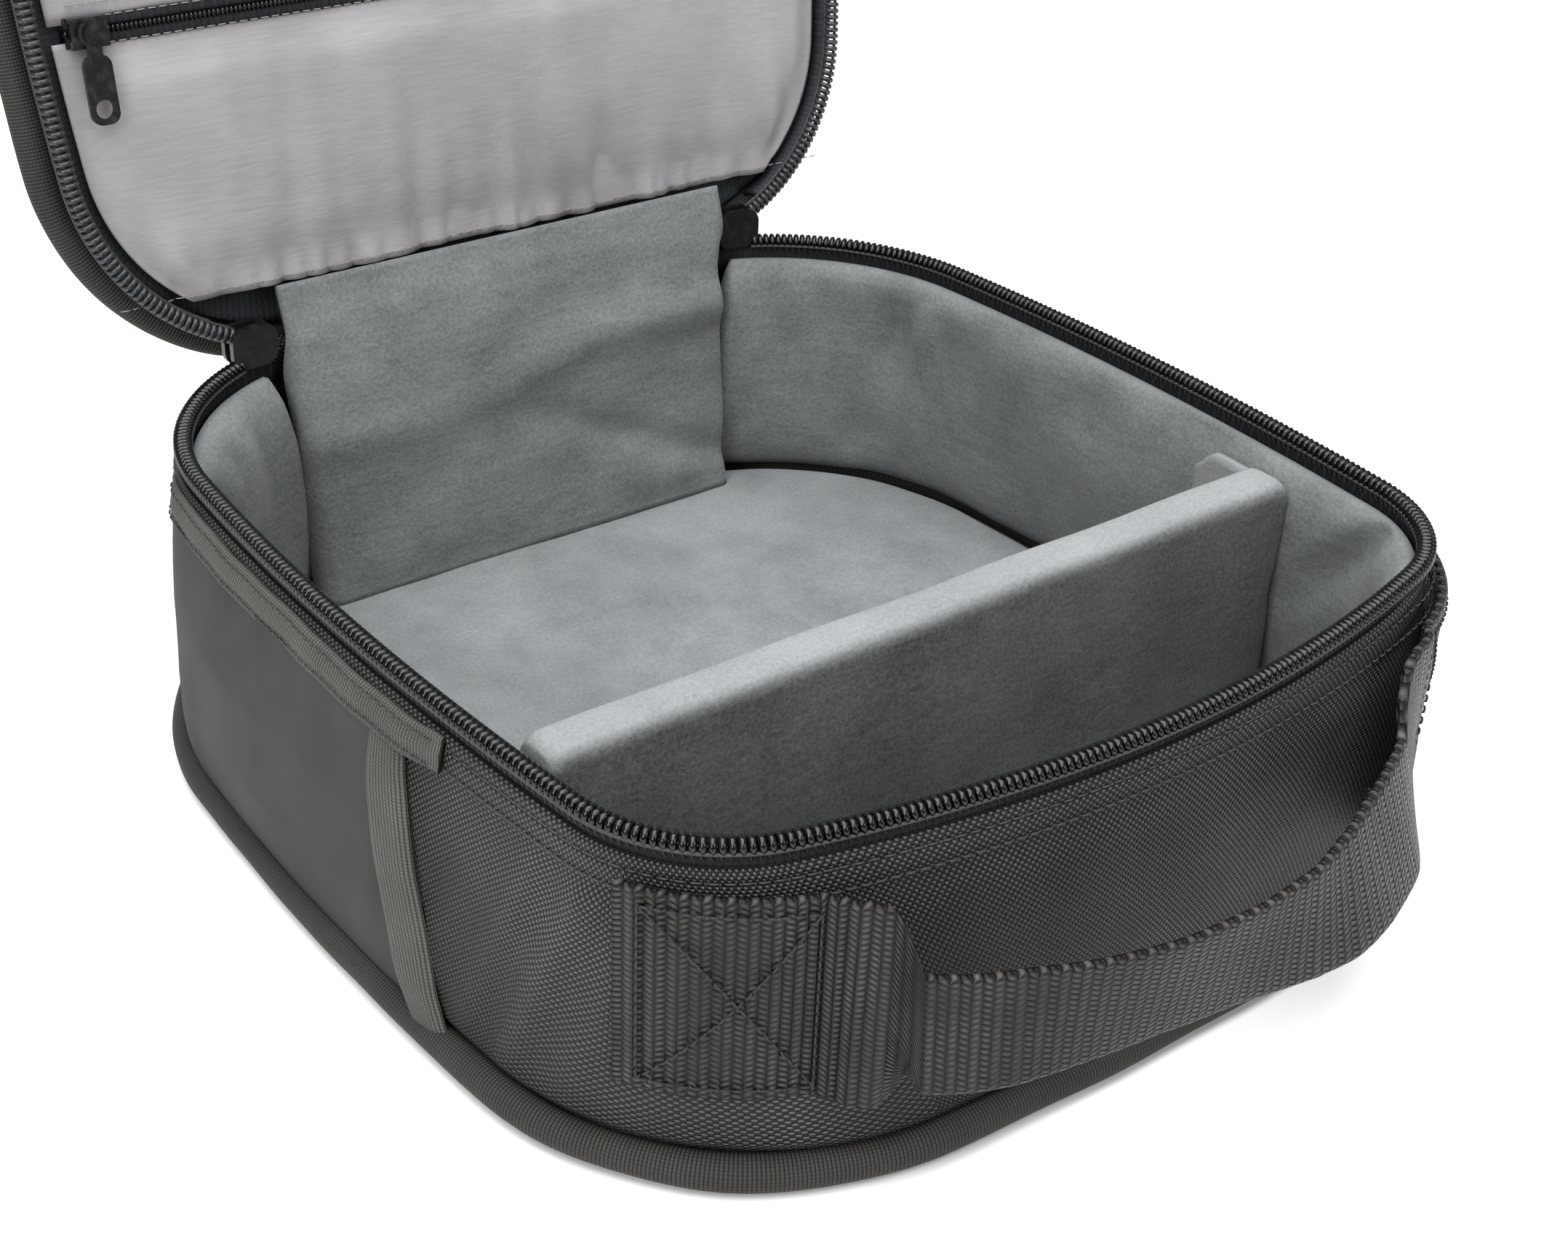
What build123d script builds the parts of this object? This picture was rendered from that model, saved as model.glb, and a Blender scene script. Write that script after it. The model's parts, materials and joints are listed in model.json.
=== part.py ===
from build123d import *
import os
from math import atan2, cos, degrees, hypot, radians, sin, sqrt

# Soft zipped carry case for miniatures, lid standing open.
# Millimetres. +Z up, +X to the right along the front face, +Y to the back (hinge side).
# Origin: centre of the flat bottom, on the surface that the case stands on.

# ---------------------------------------------------------------- driving dimensions
# Outlines: width, depth, front corner radius, back corner radius, front bow, side bow, back bow
FOOT = (254.0, 270.0, 71.0, 85.0, 10.0, 10.5, 2.0)          # centre line of the bottom piping
WALL_FOOT = (252.0, 268.0, 70.0, 84.0, 10.0, 10.5, 2.0)     # outer wall just above the piping
WALL_RIM = (239.7, 258.8, 38.5, 65.4, 22.5, 10.2, 2.0)      # outer wall at its top edge
RIM = (235.7, 254.8, 36.5, 63.4, 22.5, 10.2, 2.0)           # centre line of the base zip coil
LID_RIM = (235.7, 254.8, 36.5, 54.2, 22.5, 10.2, 3.3)       # centre line of the lid zip coil

RIM_HEIGHT = 80.5            # plane where the two halves of the main zip meet
WALL_BOTTOM = 8.3
WALL_TOP = 72.0
WALL_THICKNESS = 1.5
LINER_THICKNESS = 8.0
LINER_BOTTOM = 8.6
LINER_TOP = 70.0
PIPING_RADIUS = 4.0
PANEL_THICKNESS = 1.2        # outer fabric of the bottom
BOARD_THICKNESS = 2.0        # stiffener sheets
FLOOR_TOP = 10.6
GAP = 0.3                    # play between neighbouring pieces

TAPE_THICKNESS = 0.9
COIL_WIDTH = 2.8
COIL_HEIGHT = 2.8
HINGE_HALF = 67.5            # half width of the fabric hinge panels
ZIP_END = 84.0               # half distance between the ends of the open zip chains
TAPE_END = 72.0              # half distance between the ends of the base zip tape
BACK_TOP = 69.0              # between the tape's ends the back wall stays below the lid's turning edge

HINGE_Y = 123.9
HINGE_Z = 84.6
OPEN_ANGLE = 99.3            # lid angle from closed

LID_PIPING_RADIUS = 4.2
LID_PIPING_HEIGHT = 13.0     # above the rim plane, lid closed
LID_PIPING_OFFSET = 2.6
LINING_HEIGHT = 5.0          # satin lining above the rim plane
SATIN = 0.8
POCKET_ZIP_Y = 45.0          # closed-lid Y of the lid pocket's zip
LINING_SEAM_Y = 112.5        # closed-lid Y of the seam at the hinge

WEBBING = 50.0
WEBBING_THICKNESS = 1.6
HANDLE_Z = 44.0
HANDLE_CORNER_X = 112.0
HANDLE_SEWN_X = 79.2
HANDLE_ROOT_Y = -136.5       # how far the webbing stands out from the face before the grip
HANDLE_ROOT_HEIGHT = 44.0
GRIP_END_X = 75.0
GRIP_END_Y = -138.5
GRIP_FRONT_Y = -166.0
GRIP_HEIGHT = 27.0
GRIP_THICKNESS = 5.0

DIVIDER_Y = -58.0
DIVIDER_THICKNESS = 12.5
DIVIDER_HALF = 105.6
DIVIDER_TOP = 74.0
HOOK_LENGTH = 16.0
HOOK_THICKNESS = 2.4

POCKET_FRONT_Y = -34.0
POCKET_BACK_Y = 84.0
POCKET_DEPTH = 7.5
POCKET_TOP = 62.0
BINDING_HEIGHT = 11.0
ELASTIC_WIDTH = 11.0

PULL_LENGTH = 24.0
PULL_WIDTH = 7.0
PULL_THICKNESS = 1.2

FAR = 400.0                  # size of the blocks that trim a piece

LID = Plane(
    origin=(
        0,
        HINGE_Y - HINGE_Y * cos(radians(OPEN_ANGLE)) - HINGE_Z * sin(radians(OPEN_ANGLE)),
        HINGE_Z + HINGE_Y * sin(radians(OPEN_ANGLE)) - HINGE_Z * cos(radians(OPEN_ANGLE)),
    ),
    x_dir=(1, 0, 0),
    z_dir=(0, sin(radians(OPEN_ANGLE)), cos(radians(OPEN_ANGLE))),
)                            # closed-lid coordinates carried to the open lid


# ---------------------------------------------------------------- outlines
def mix(low, high, fraction):
    """Outline part of the way from one to another."""
    return tuple(a + (b - a) * fraction for a, b in zip(low, high))


def bow_radius(half_chord, bow):
    return (half_chord**2 + bow**2) / (2 * bow)


def corner_centre(centre_a, reach_a, centre_b, reach_b, back):
    """Centre of a corner arc at reach_a and reach_b from the centres of the two bowed sides."""
    gap_x = centre_b[0] - centre_a[0]
    gap_y = centre_b[1] - centre_a[1]
    gap = hypot(gap_x, gap_y)
    along = (reach_a**2 - reach_b**2 + gap**2) / (2 * gap)
    across = sqrt(reach_a**2 - along**2)
    candidates = [
        (
            centre_a[0] + (along * gap_x - side * across * gap_y) / gap,
            centre_a[1] + (along * gap_y + side * across * gap_x) / gap,
        )
        for side in (1, -1)
    ]
    outer = candidates if not back else [(x, -y) for x, y in candidates]
    return candidates[outer.index(max(outer, key=lambda point: point[0] - point[1]))]


def angle_of(centre, point):
    return degrees(atan2(point[1] - centre[1], point[0] - centre[0]))


def outline_arcs(shape):
    """Eight tangent arcs, anticlockwise from the front: centre, radius, start and end angle."""
    width, depth, front_radius, back_radius, front_bow, side_bow, back_bow = shape
    front = bow_radius(width / 2, front_bow)
    side = bow_radius(depth / 2, side_bow)
    back = bow_radius(width / 2, back_bow)
    front_centre = (0, front - depth / 2)
    side_centre = (width / 2 - side, 0)
    back_centre = (0, depth / 2 - back)
    near = corner_centre(front_centre, front - front_radius, side_centre, side - front_radius, False)
    far = corner_centre(back_centre, back - back_radius, side_centre, side - back_radius, True)
    turn_1 = angle_of(front_centre, near)
    turn_2 = angle_of(side_centre, near)
    turn_3 = angle_of(side_centre, far)
    turn_4 = angle_of(back_centre, far)
    return [
        (front_centre, front, -180 - turn_1, turn_1),
        (near, front_radius, turn_1, turn_2),
        (side_centre, side, turn_2, turn_3),
        (far, back_radius, turn_3, turn_4),
        (back_centre, back, turn_4, 180 - turn_4),
        ((-far[0], far[1]), back_radius, 180 - turn_4, 180 - turn_3),
        ((-side_centre[0], 0), side, 180 - turn_3, 180 - turn_2),
        ((-near[0], near[1]), front_radius, 180 - turn_2, 180 - turn_1),
    ]


def outline(shape, plane, off=0.0):
    """Face inside an outline grown by off."""
    with BuildSketch(plane) as sketch:
        with BuildLine():
            for centre, radius, start, end in outline_arcs(shape):
                CenterArc(centre, radius + off, start, end - start)
        make_face()
    return sketch.sketch


def outline_path(shape, plane, off=0.0):
    """The outline as a closed wire."""
    with BuildLine(plane) as line:
        for centre, radius, start, end in outline_arcs(shape):
            CenterArc(centre, radius + off, start, end - start)
    return line.wires()[0]


def wall_outline(height, off=0.0):
    """Outline of the outer wall at a height, grown by off."""
    fraction = (height - WALL_BOTTOM) / (WALL_TOP - WALL_BOTTOM)
    return outline(mix(WALL_FOOT, WALL_RIM, fraction), Plane.XY.offset(height), off)


# ---------------------------------------------------------------- shapes used more than once
def slab(shape, plane, bottom, top, off):
    """Flat piece with an outline's shape."""
    extrude(outline(shape, plane.offset(bottom), off), amount=top - bottom)


def band(shape, plane, bottom, top, outer, inner):
    """Upright ring between two offsets of one outline."""
    slab(shape, plane, bottom, top, outer)
    extrude(outline(shape, plane.offset(bottom), inner), amount=top - bottom, mode=Mode.SUBTRACT)


def wall_shell(bottom, top, outer, inner):
    """Ring that follows the leaning wall between two offsets."""
    loft(sections=[wall_outline(bottom, outer), wall_outline(top, outer)], ruled=True)
    loft(sections=[wall_outline(bottom, inner), wall_outline(top, inner)], ruled=True, mode=Mode.SUBTRACT)


def tube(shape, plane, radius, off=0.0):
    """Round piping along an outline."""
    path = outline_path(shape, plane, off)
    with BuildSketch(Plane(origin=path @ 0, z_dir=path % 0)) as section:
        Circle(radius)
    sweep(sections=section.sketch, path=path)


def block(plane, low, high, mode):
    """Box between two corners given in a plane's coordinates."""
    middle = [(a + b) / 2 for a, b in zip(low, high)]
    size = [b - a for a, b in zip(low, high)]
    with Locations(plane.location):
        with Locations(tuple(middle)):
            Box(*size, mode=mode)


def cut_block(plane, low, high):
    block(plane, low, high, Mode.SUBTRACT)


def keep_block(plane, low, high):
    block(plane, low, high, Mode.INTERSECT)


def save(builder, name):
    builder.part.label = name
    export_step(builder.part, f"parts/{name}.step")


os.makedirs("parts", exist_ok=True)

# ---------------------------------------------------------------- bottom of the base
with BuildPart() as base_bottom_panel:
    slab(FOOT, Plane.XY, 0, PANEL_THICKNESS, -PIPING_RADIUS - GAP)
save(base_bottom_panel, "base_bottom_panel")

BOARD_BOTTOM = PANEL_THICKNESS + GAP
BOARD_TOP = BOARD_BOTTOM + BOARD_THICKNESS
with BuildPart() as base_stiffener_board:
    slab(FOOT, Plane.XY, BOARD_BOTTOM, BOARD_TOP, -PIPING_RADIUS - 2 * GAP)
save(base_stiffener_board, "base_stiffener_board")

with BuildPart() as base_floor_pad:
    slab(FOOT, Plane.XY, BOARD_TOP + GAP, LINER_BOTTOM - GAP, -PIPING_RADIUS - 2 * GAP)
    slab(WALL_FOOT, Plane.XY, LINER_BOTTOM - GAP, FLOOR_TOP, -LINER_THICKNESS - 4.0)
save(base_floor_pad, "base_floor_pad")

with BuildPart() as base_piping:
    tube(FOOT, Plane.XY.offset(PIPING_RADIUS), PIPING_RADIUS)
save(base_piping, "base_piping")

# ---------------------------------------------------------------- walls of the base
TAPE_OUTER = -WALL_THICKNESS - 2 * GAP
TAPE_INNER = TAPE_OUTER - TAPE_THICKNESS
LINER_OUTER = TAPE_INNER - GAP
LINER_INNER = LINER_OUTER - LINER_THICKNESS
TAPE_BOTTOM = 64.0
TAPE_TOP = RIM_HEIGHT - COIL_HEIGHT - 2 * GAP

with BuildPart() as base_wall:
    wall_shell(WALL_BOTTOM, WALL_TOP, 0, -WALL_THICKNESS)
    cut_block(Plane.XY, (-TAPE_END, 60, BACK_TOP), (TAPE_END, 200, 100))
save(base_wall, "base_wall")

with BuildPart() as base_wall_liner:
    wall_shell(LINER_BOTTOM, LINER_TOP, LINER_OUTER, LINER_INNER)
    cut_block(Plane.XY, (-HINGE_HALF - 1, 60, 0), (HINGE_HALF + 1, 200, 100))
    cut_block(Plane.XY, (-TAPE_END, 60, BACK_TOP), (TAPE_END, 200, 100))
save(base_wall_liner, "base_wall_liner")

with BuildPart() as base_zip_tape:
    wall_shell(TAPE_BOTTOM, TAPE_TOP, TAPE_OUTER, TAPE_INNER)
    cut_block(Plane.XY, (-TAPE_END, 60, 0), (TAPE_END, 200, 100))
save(base_zip_tape, "base_zip_tape")

with BuildPart() as base_zip_coil:
    band(RIM, Plane.XY, TAPE_TOP + GAP, RIM_HEIGHT - GAP, COIL_WIDTH / 2, -COIL_WIDTH / 2)
    cut_block(Plane.XY, (-ZIP_END, 60, 0), (ZIP_END, 200, 100))
save(base_zip_coil, "base_zip_coil")

# ---------------------------------------------------------------- fabric hinge, base side
with BuildPart() as hinge_inner_panel:
    wall_shell(LINER_BOTTOM, BACK_TOP, TAPE_INNER + 0.6, LINER_INNER + 1.0)
    keep_block(Plane.XY, (-HINGE_HALF, 60, 0), (HINGE_HALF, 200, 100))
save(hinge_inner_panel, "hinge_inner_panel")

with BuildPart() as hinge_outer_panel:
    wall_shell(58.0, BACK_TOP, GAP + 1.0, GAP)
    keep_block(Plane.XY, (-HINGE_HALF, 60, 0), (HINGE_HALF, 200, 100))
save(hinge_outer_panel, "hinge_outer_panel")

# ---------------------------------------------------------------- main zip sliders, parked at the hinge
SLIDER_X = 75.7
SLIDER_Z = 83.0
SLIDER_LENGTH = 13.0
SLIDER_HEIGHT = 11.0
SLIDER_DEPTH = 5.6
PLATE = 1.6
PIN_RADIUS = 1.3
PIN_CAP_RADIUS = 2.2
PIN_CAP_THICKNESS = 0.4
EYE_RADIUS = 3.2
EYE_HOLE = 1.7


def pull_outline():
    """Flat pull tab hanging from its eye at the sketch's origin, with a finger hole at its end."""
    Circle(EYE_RADIUS)
    with Locations((0, -4.5)):
        Rectangle(3.6, 6.0)
    with Locations((0, -(PULL_LENGTH + 2.0) / 2)):
        RectangleRounded(PULL_WIDTH, PULL_LENGTH - 8.0, 2.6)
    Circle(EYE_HOLE, mode=Mode.SUBTRACT)
    with Locations((0, -PULL_LENGTH + 6.6)):
        Circle(2.2, mode=Mode.SUBTRACT)


BACK_CORNER, BACK_CORNER_RADIUS = outline_arcs(RIM)[3][:2]
SLIDER_Y = BACK_CORNER[1] + sqrt(BACK_CORNER_RADIUS**2 - (SLIDER_X - BACK_CORNER[0]) ** 2)
SLIDER_TURN = 6.0           # the slider turns part of the way into the corner
PULL_Y = SLIDER_Y + 3.4      # inner face of the hanging pull tab
PULL_TILT = 1.6              # the tab hangs beside the leaning wall

for side, name in ((-1, "left"), (1, "right")):
    turned = Plane(
        origin=(side * SLIDER_X, SLIDER_Y, SLIDER_Z),
        x_dir=(cos(radians(SLIDER_TURN)), -side * sin(radians(SLIDER_TURN)), 0),
        z_dir=(0, 0, 1),
    )
    with BuildPart() as slider:
        for shift in (-1, 1):
            with Locations(turned.location):
                with Locations((0, shift * (SLIDER_DEPTH - PLATE) / 2, 0)):
                    Box(SLIDER_LENGTH, PLATE, SLIDER_HEIGHT)
        fillet(slider.edges().filter_by(lambda edge: abs(edge.length - PLATE) < 0.01), 4.0)
        with Locations(turned.location):
            with Locations((-side * 3.0, 0, 0)):
                Box(4.0, SLIDER_DEPTH - PLATE, 3.6)
        hanging = Plane(
            origin=(side * SLIDER_X, PULL_Y, SLIDER_Z),
            x_dir=(1, 0, 0),
            z_dir=(0, -cos(radians(PULL_TILT)), -sin(radians(PULL_TILT))),
        )
        with BuildSketch(hanging.offset(0.8)):
            Circle(PIN_RADIUS)
        extrude(amount=-PULL_THICKNESS - 0.95)
        with BuildSketch(hanging.offset(-PULL_THICKNESS - 0.15)):
            Circle(PIN_CAP_RADIUS)
        extrude(amount=-PIN_CAP_THICKNESS)
    save(slider, f"main_slider_{name}")

    with BuildPart() as main_pull:
        with BuildSketch(hanging):
            pull_outline()
        extrude(amount=-PULL_THICKNESS)
    save(main_pull, f"main_pull_{name}")

# ---------------------------------------------------------------- side pocket on the left wall
POCKET_FLOOR = 11.0
POCKET_LEVELS = ((POCKET_FLOOR, 0.5), (26.0, POCKET_DEPTH), (48.0, POCKET_DEPTH), (POCKET_TOP, 0.5))


def pocket_shell(extra, thickness):
    """Bellows shape in front of the wall, closed along its top and bottom edges."""
    levels = [wall_outline(height, off + extra + thickness) for height, off in POCKET_LEVELS]
    loft(sections=levels, ruled=True)
    levels = [wall_outline(height, off + extra) for height, off in POCKET_LEVELS]
    loft(sections=levels, ruled=True, mode=Mode.SUBTRACT)


with BuildPart() as side_pocket_panel:
    pocket_shell(0, 1.0)
    keep_block(Plane.XY, (-200, POCKET_FRONT_Y, 0), (-60, POCKET_BACK_Y, 100))
save(side_pocket_panel, "side_pocket_panel")

with BuildPart() as pocket_binding:
    wall_shell(POCKET_TOP + GAP, WALL_TOP - 1.5, 0.4 + 1.2, 0.4)
    keep_block(Plane.XY, (-200, POCKET_FRONT_Y - 14, 0), (-60, POCKET_BACK_Y, 100))
save(pocket_binding, "pocket_binding")

with BuildPart() as pocket_elastic:
    pocket_shell(1.0 + GAP, 1.0)
    keep_block(Plane.XY, (-200, POCKET_FRONT_Y, 0), (-60, POCKET_FRONT_Y + ELASTIC_WIDTH, 100))
save(pocket_elastic, "pocket_elastic")

# ---------------------------------------------------------------- handle
GRIP_SAG = GRIP_END_Y - GRIP_FRONT_Y
GRIP_RADIUS = bow_radius(GRIP_END_X, GRIP_SAG)
GRIP_CENTRE_Y = GRIP_FRONT_Y + GRIP_RADIUS
GRIP_HALF_ANGLE = degrees(atan2(GRIP_END_X, GRIP_CENTRE_Y - GRIP_END_Y))

with BuildPart() as handle_grip:
    with BuildSketch(Plane.XY.offset(HANDLE_Z - GRIP_HEIGHT / 2)):
        with BuildLine():
            inner_arc = CenterArc(
                (0, GRIP_CENTRE_Y), GRIP_RADIUS - GRIP_THICKNESS / 2, -90 - GRIP_HALF_ANGLE, 2 * GRIP_HALF_ANGLE
            )
            outer_arc = CenterArc(
                (0, GRIP_CENTRE_Y), GRIP_RADIUS + GRIP_THICKNESS / 2, -90 - GRIP_HALF_ANGLE, 2 * GRIP_HALF_ANGLE
            )
            Line(inner_arc @ 0, outer_arc @ 0)
            Line(inner_arc @ 1, outer_arc @ 1)
        make_face()
    extrude(amount=GRIP_HEIGHT)
    fillet(handle_grip.edges().filter_by(GeomType.CIRCLE), 2.0)
save(handle_grip, "handle_grip")

for side, name in ((-1, "left"), (1, "right")):
    with BuildPart() as handle_end:
        wall_shell(HANDLE_Z - WEBBING / 2, HANDLE_Z + WEBBING / 2, GAP + WEBBING_THICKNESS, GAP)
        inner_x = side * HANDLE_SEWN_X
        outer_x = side * HANDLE_CORNER_X
        keep_block(Plane.XY, (min(inner_x, outer_x), -200, 0), (max(inner_x, outer_x), -60, 100))
        root_x = side * (HANDLE_SEWN_X + WEBBING_THICKNESS)
        block(
            Plane.XY,
            (min(inner_x, root_x), HANDLE_ROOT_Y, HANDLE_Z - HANDLE_ROOT_HEIGHT / 2),
            (max(inner_x, root_x), -110, HANDLE_Z + HANDLE_ROOT_HEIGHT / 2),
            Mode.ADD,
        )
        levels = [wall_outline(HANDLE_Z + rise, GAP) for rise in (-WEBBING / 2, WEBBING / 2)]
        loft(sections=levels, ruled=True, mode=Mode.SUBTRACT)
    save(handle_end, f"handle_patch_{name}")

# ---------------------------------------------------------------- divider
with BuildPart() as divider_core:
    block(
        Plane.XY,
        (-DIVIDER_HALF + 5, DIVIDER_Y - 1, FLOOR_TOP + 4),
        (DIVIDER_HALF - 5, DIVIDER_Y + 1, DIVIDER_TOP - 5),
        Mode.ADD,
    )
save(divider_core, "divider_core")

with BuildPart() as divider_cover:
    block(
        Plane.XY,
        (-DIVIDER_HALF, DIVIDER_Y - DIVIDER_THICKNESS / 2, FLOOR_TOP + GAP),
        (DIVIDER_HALF, DIVIDER_Y + DIVIDER_THICKNESS / 2, DIVIDER_TOP),
        Mode.ADD,
    )
    fillet(divider_cover.edges().group_by(Axis.Z)[-1], 4.0)
    cut_block(
        Plane.XY,
        (-DIVIDER_HALF + 5 - GAP, DIVIDER_Y - 1 - GAP, FLOOR_TOP + 4 - GAP),
        (DIVIDER_HALF - 5 + GAP, DIVIDER_Y + 1 + GAP, DIVIDER_TOP - 5 + GAP),
    )
save(divider_cover, "divider_cover")

for side, name in ((-1, "left"), (1, "right")):
    with BuildPart() as hook_tab:
        face_x = side * (DIVIDER_HALF - HOOK_THICKNESS)
        edge_x = side * DIVIDER_HALF
        back_y = DIVIDER_Y + DIVIDER_THICKNESS / 2 + GAP
        block(
            Plane.XY,
            (min(face_x, edge_x), back_y, 16),
            (max(face_x, edge_x), back_y + HOOK_LENGTH, DIVIDER_TOP - 4),
            Mode.ADD,
        )
        fillet(hook_tab.edges().filter_by(Axis.X).group_by(Axis.Y)[-1], 5.0)
    save(hook_tab, f"divider_hook_{name}")

# ---------------------------------------------------------------- lid
LID_TAPE_BOTTOM = RIM_HEIGHT + GAP + COIL_HEIGHT + GAP
LID_TAPE_TOP = RIM_HEIGHT + 8.4
LINING_BOTTOM = RIM_HEIGHT + LINING_HEIGHT
POCKET_BACK = RIM_HEIGHT + 10.6
FOAM_BOTTOM = POCKET_BACK + SATIN + GAP
FOAM_TOP = FOAM_BOTTOM + 4.0
LID_BOARD_TOP = FOAM_TOP + GAP + BOARD_THICKNESS
LID_OUTER_TOP = LID_BOARD_TOP + GAP + PANEL_THICKNESS


with BuildPart() as lid_zip_coil:
    band(LID_RIM, LID, RIM_HEIGHT + GAP, RIM_HEIGHT + GAP + COIL_HEIGHT, COIL_WIDTH / 2, -COIL_WIDTH / 2)
    cut_block(LID, (-ZIP_END, 60, 0), (ZIP_END, 200, 200))
save(lid_zip_coil, "lid_zip_coil")

with BuildPart() as lid_zip_tape:
    band(LID_RIM, LID, LID_TAPE_BOTTOM, LID_TAPE_TOP, TAPE_THICKNESS / 2, -TAPE_THICKNESS / 2)
    cut_block(LID, (-ZIP_END - 1, 60, 0), (ZIP_END + 1, 200, 200))
save(lid_zip_tape, "lid_zip_tape")

with BuildPart() as lid_hinge_band:
    band(LID_RIM, LID, RIM_HEIGHT + 4.0, LID_TAPE_TOP, TAPE_THICKNESS / 2, -TAPE_THICKNESS / 2)
    keep_block(LID, (-HINGE_HALF, 60, 0), (HINGE_HALF, 200, 200))
save(lid_hinge_band, "lid_hinge_band")

with BuildPart() as lid_piping:
    tube(LID_RIM, LID.offset(RIM_HEIGHT + LID_PIPING_HEIGHT), LID_PIPING_RADIUS, LID_PIPING_OFFSET)
save(lid_piping, "lid_piping")

with BuildPart() as lid_lining_lower:
    slab(LID_RIM, LID, LINING_BOTTOM, LINING_BOTTOM + SATIN, -2.4)
    keep_block(LID, (-FAR, POCKET_ZIP_Y + 3.5, 0), (FAR, LINING_SEAM_Y, 200))
save(lid_lining_lower, "lid_lining_lower")

with BuildPart() as lid_lining_upper:
    slab(LID_RIM, LID, LINING_BOTTOM, LINING_BOTTOM + SATIN, -2.4)
    keep_block(LID, (-FAR, -FAR, 0), (FAR, POCKET_ZIP_Y - 3.5, 200))
save(lid_lining_upper, "lid_lining_upper")

with BuildPart() as lid_pocket_back:
    slab(LID_RIM, LID, POCKET_BACK, POCKET_BACK + SATIN, -2.4)
save(lid_pocket_back, "lid_pocket_back")

with BuildPart() as lid_foam:
    slab(LID_RIM, LID, FOAM_BOTTOM, FOAM_TOP, -2.4)
save(lid_foam, "lid_foam")

with BuildPart() as lid_stiffener_board:
    slab(LID_RIM, LID, FOAM_TOP + GAP, LID_BOARD_TOP, -2.4)
save(lid_stiffener_board, "lid_stiffener_board")

with BuildPart() as lid_top_panel:
    slab(LID_RIM, LID, LID_BOARD_TOP + GAP, LID_OUTER_TOP, LID_PIPING_OFFSET - 1.0)
save(lid_top_panel, "lid_top_panel")

with BuildPart() as lid_inner_hinge_panel:
    slab(LID_RIM, LID, LINING_BOTTOM - 1.5, LINING_BOTTOM + 3.0, -2.4)
    keep_block(LID, (-HINGE_HALF, LINING_SEAM_Y + GAP, 0), (HINGE_HALF, 200, 200))
save(lid_inner_hinge_panel, "lid_inner_hinge_panel")

# ---------------------------------------------------------------- zip of the lid pocket
POCKET_ZIP_HALF = 108.0
with BuildPart() as pocket_zip_tape:
    for shift in (-1, 1):
        block(
            LID,
            (-POCKET_ZIP_HALF, POCKET_ZIP_Y + shift * 1.9 - 1.3, LINING_BOTTOM),
            (POCKET_ZIP_HALF, POCKET_ZIP_Y + shift * 1.9 + 1.3, LINING_BOTTOM + SATIN),
            Mode.ADD,
        )
save(pocket_zip_tape, "pocket_zip_tape")

with BuildPart() as pocket_zip_coil:
    block(
        LID,
        (-POCKET_ZIP_HALF + 14, POCKET_ZIP_Y - 2.2, LINING_BOTTOM - 1.6),
        (POCKET_ZIP_HALF, POCKET_ZIP_Y + 2.2, LINING_BOTTOM - GAP),
        Mode.ADD,
    )
save(pocket_zip_coil, "pocket_zip_coil")

POCKET_SLIDER_X = -103.0
POCKET_SLIDER_LENGTH = 9.0
POCKET_SLIDER_WIDTH = 7.0
COIL_CLEAR = LINING_BOTTOM - 1.6 - GAP
CROWN = COIL_CLEAR - 1.5
PULL_FRONT = CROWN - 0.3 - PULL_THICKNESS
with BuildPart() as pocket_slider:
    block(
        LID,
        (POCKET_SLIDER_X - POCKET_SLIDER_LENGTH / 2, POCKET_ZIP_Y - POCKET_SLIDER_WIDTH / 2, CROWN),
        (POCKET_SLIDER_X + POCKET_SLIDER_LENGTH / 2, POCKET_ZIP_Y + POCKET_SLIDER_WIDTH / 2, LINING_BOTTOM - GAP),
        Mode.ADD,
    )
    cut_block(
        LID,
        (POCKET_SLIDER_X - 10, POCKET_ZIP_Y - 2.2 - GAP, COIL_CLEAR),
        (POCKET_SLIDER_X + 10, POCKET_ZIP_Y + 2.2 + GAP, LINING_BOTTOM),
    )
    with Locations(LID.location):
        with Locations((POCKET_SLIDER_X, POCKET_ZIP_Y, PULL_FRONT - 0.3)):
            Cylinder(PIN_RADIUS, CROWN - PULL_FRONT + 0.8, align=(Align.CENTER, Align.CENTER, Align.MIN))
        with Locations((POCKET_SLIDER_X, POCKET_ZIP_Y, PULL_FRONT - 0.8)):
            Cylinder(PIN_CAP_RADIUS, PIN_CAP_THICKNESS, align=(Align.CENTER, Align.CENTER, Align.MIN))
save(pocket_slider, "pocket_slider")

POCKET_PULL_PLANE = Plane(
    origin=LID.from_local_coords(Vector(POCKET_SLIDER_X, POCKET_ZIP_Y, PULL_FRONT)),
    x_dir=(-1, 0, 0),
    z_dir=LID.z_dir,
)                            # the tab hangs towards the hinge
with BuildPart() as pocket_pull:
    with BuildSketch(POCKET_PULL_PLANE):
        pull_outline()
    extrude(amount=PULL_THICKNESS)
save(pocket_pull, "pocket_pull")
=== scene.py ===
import json
from math import atan2, cos, hypot, pi, radians, sin, sqrt

import bpy
import numpy as np
from mathutils import Matrix, Vector


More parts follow.
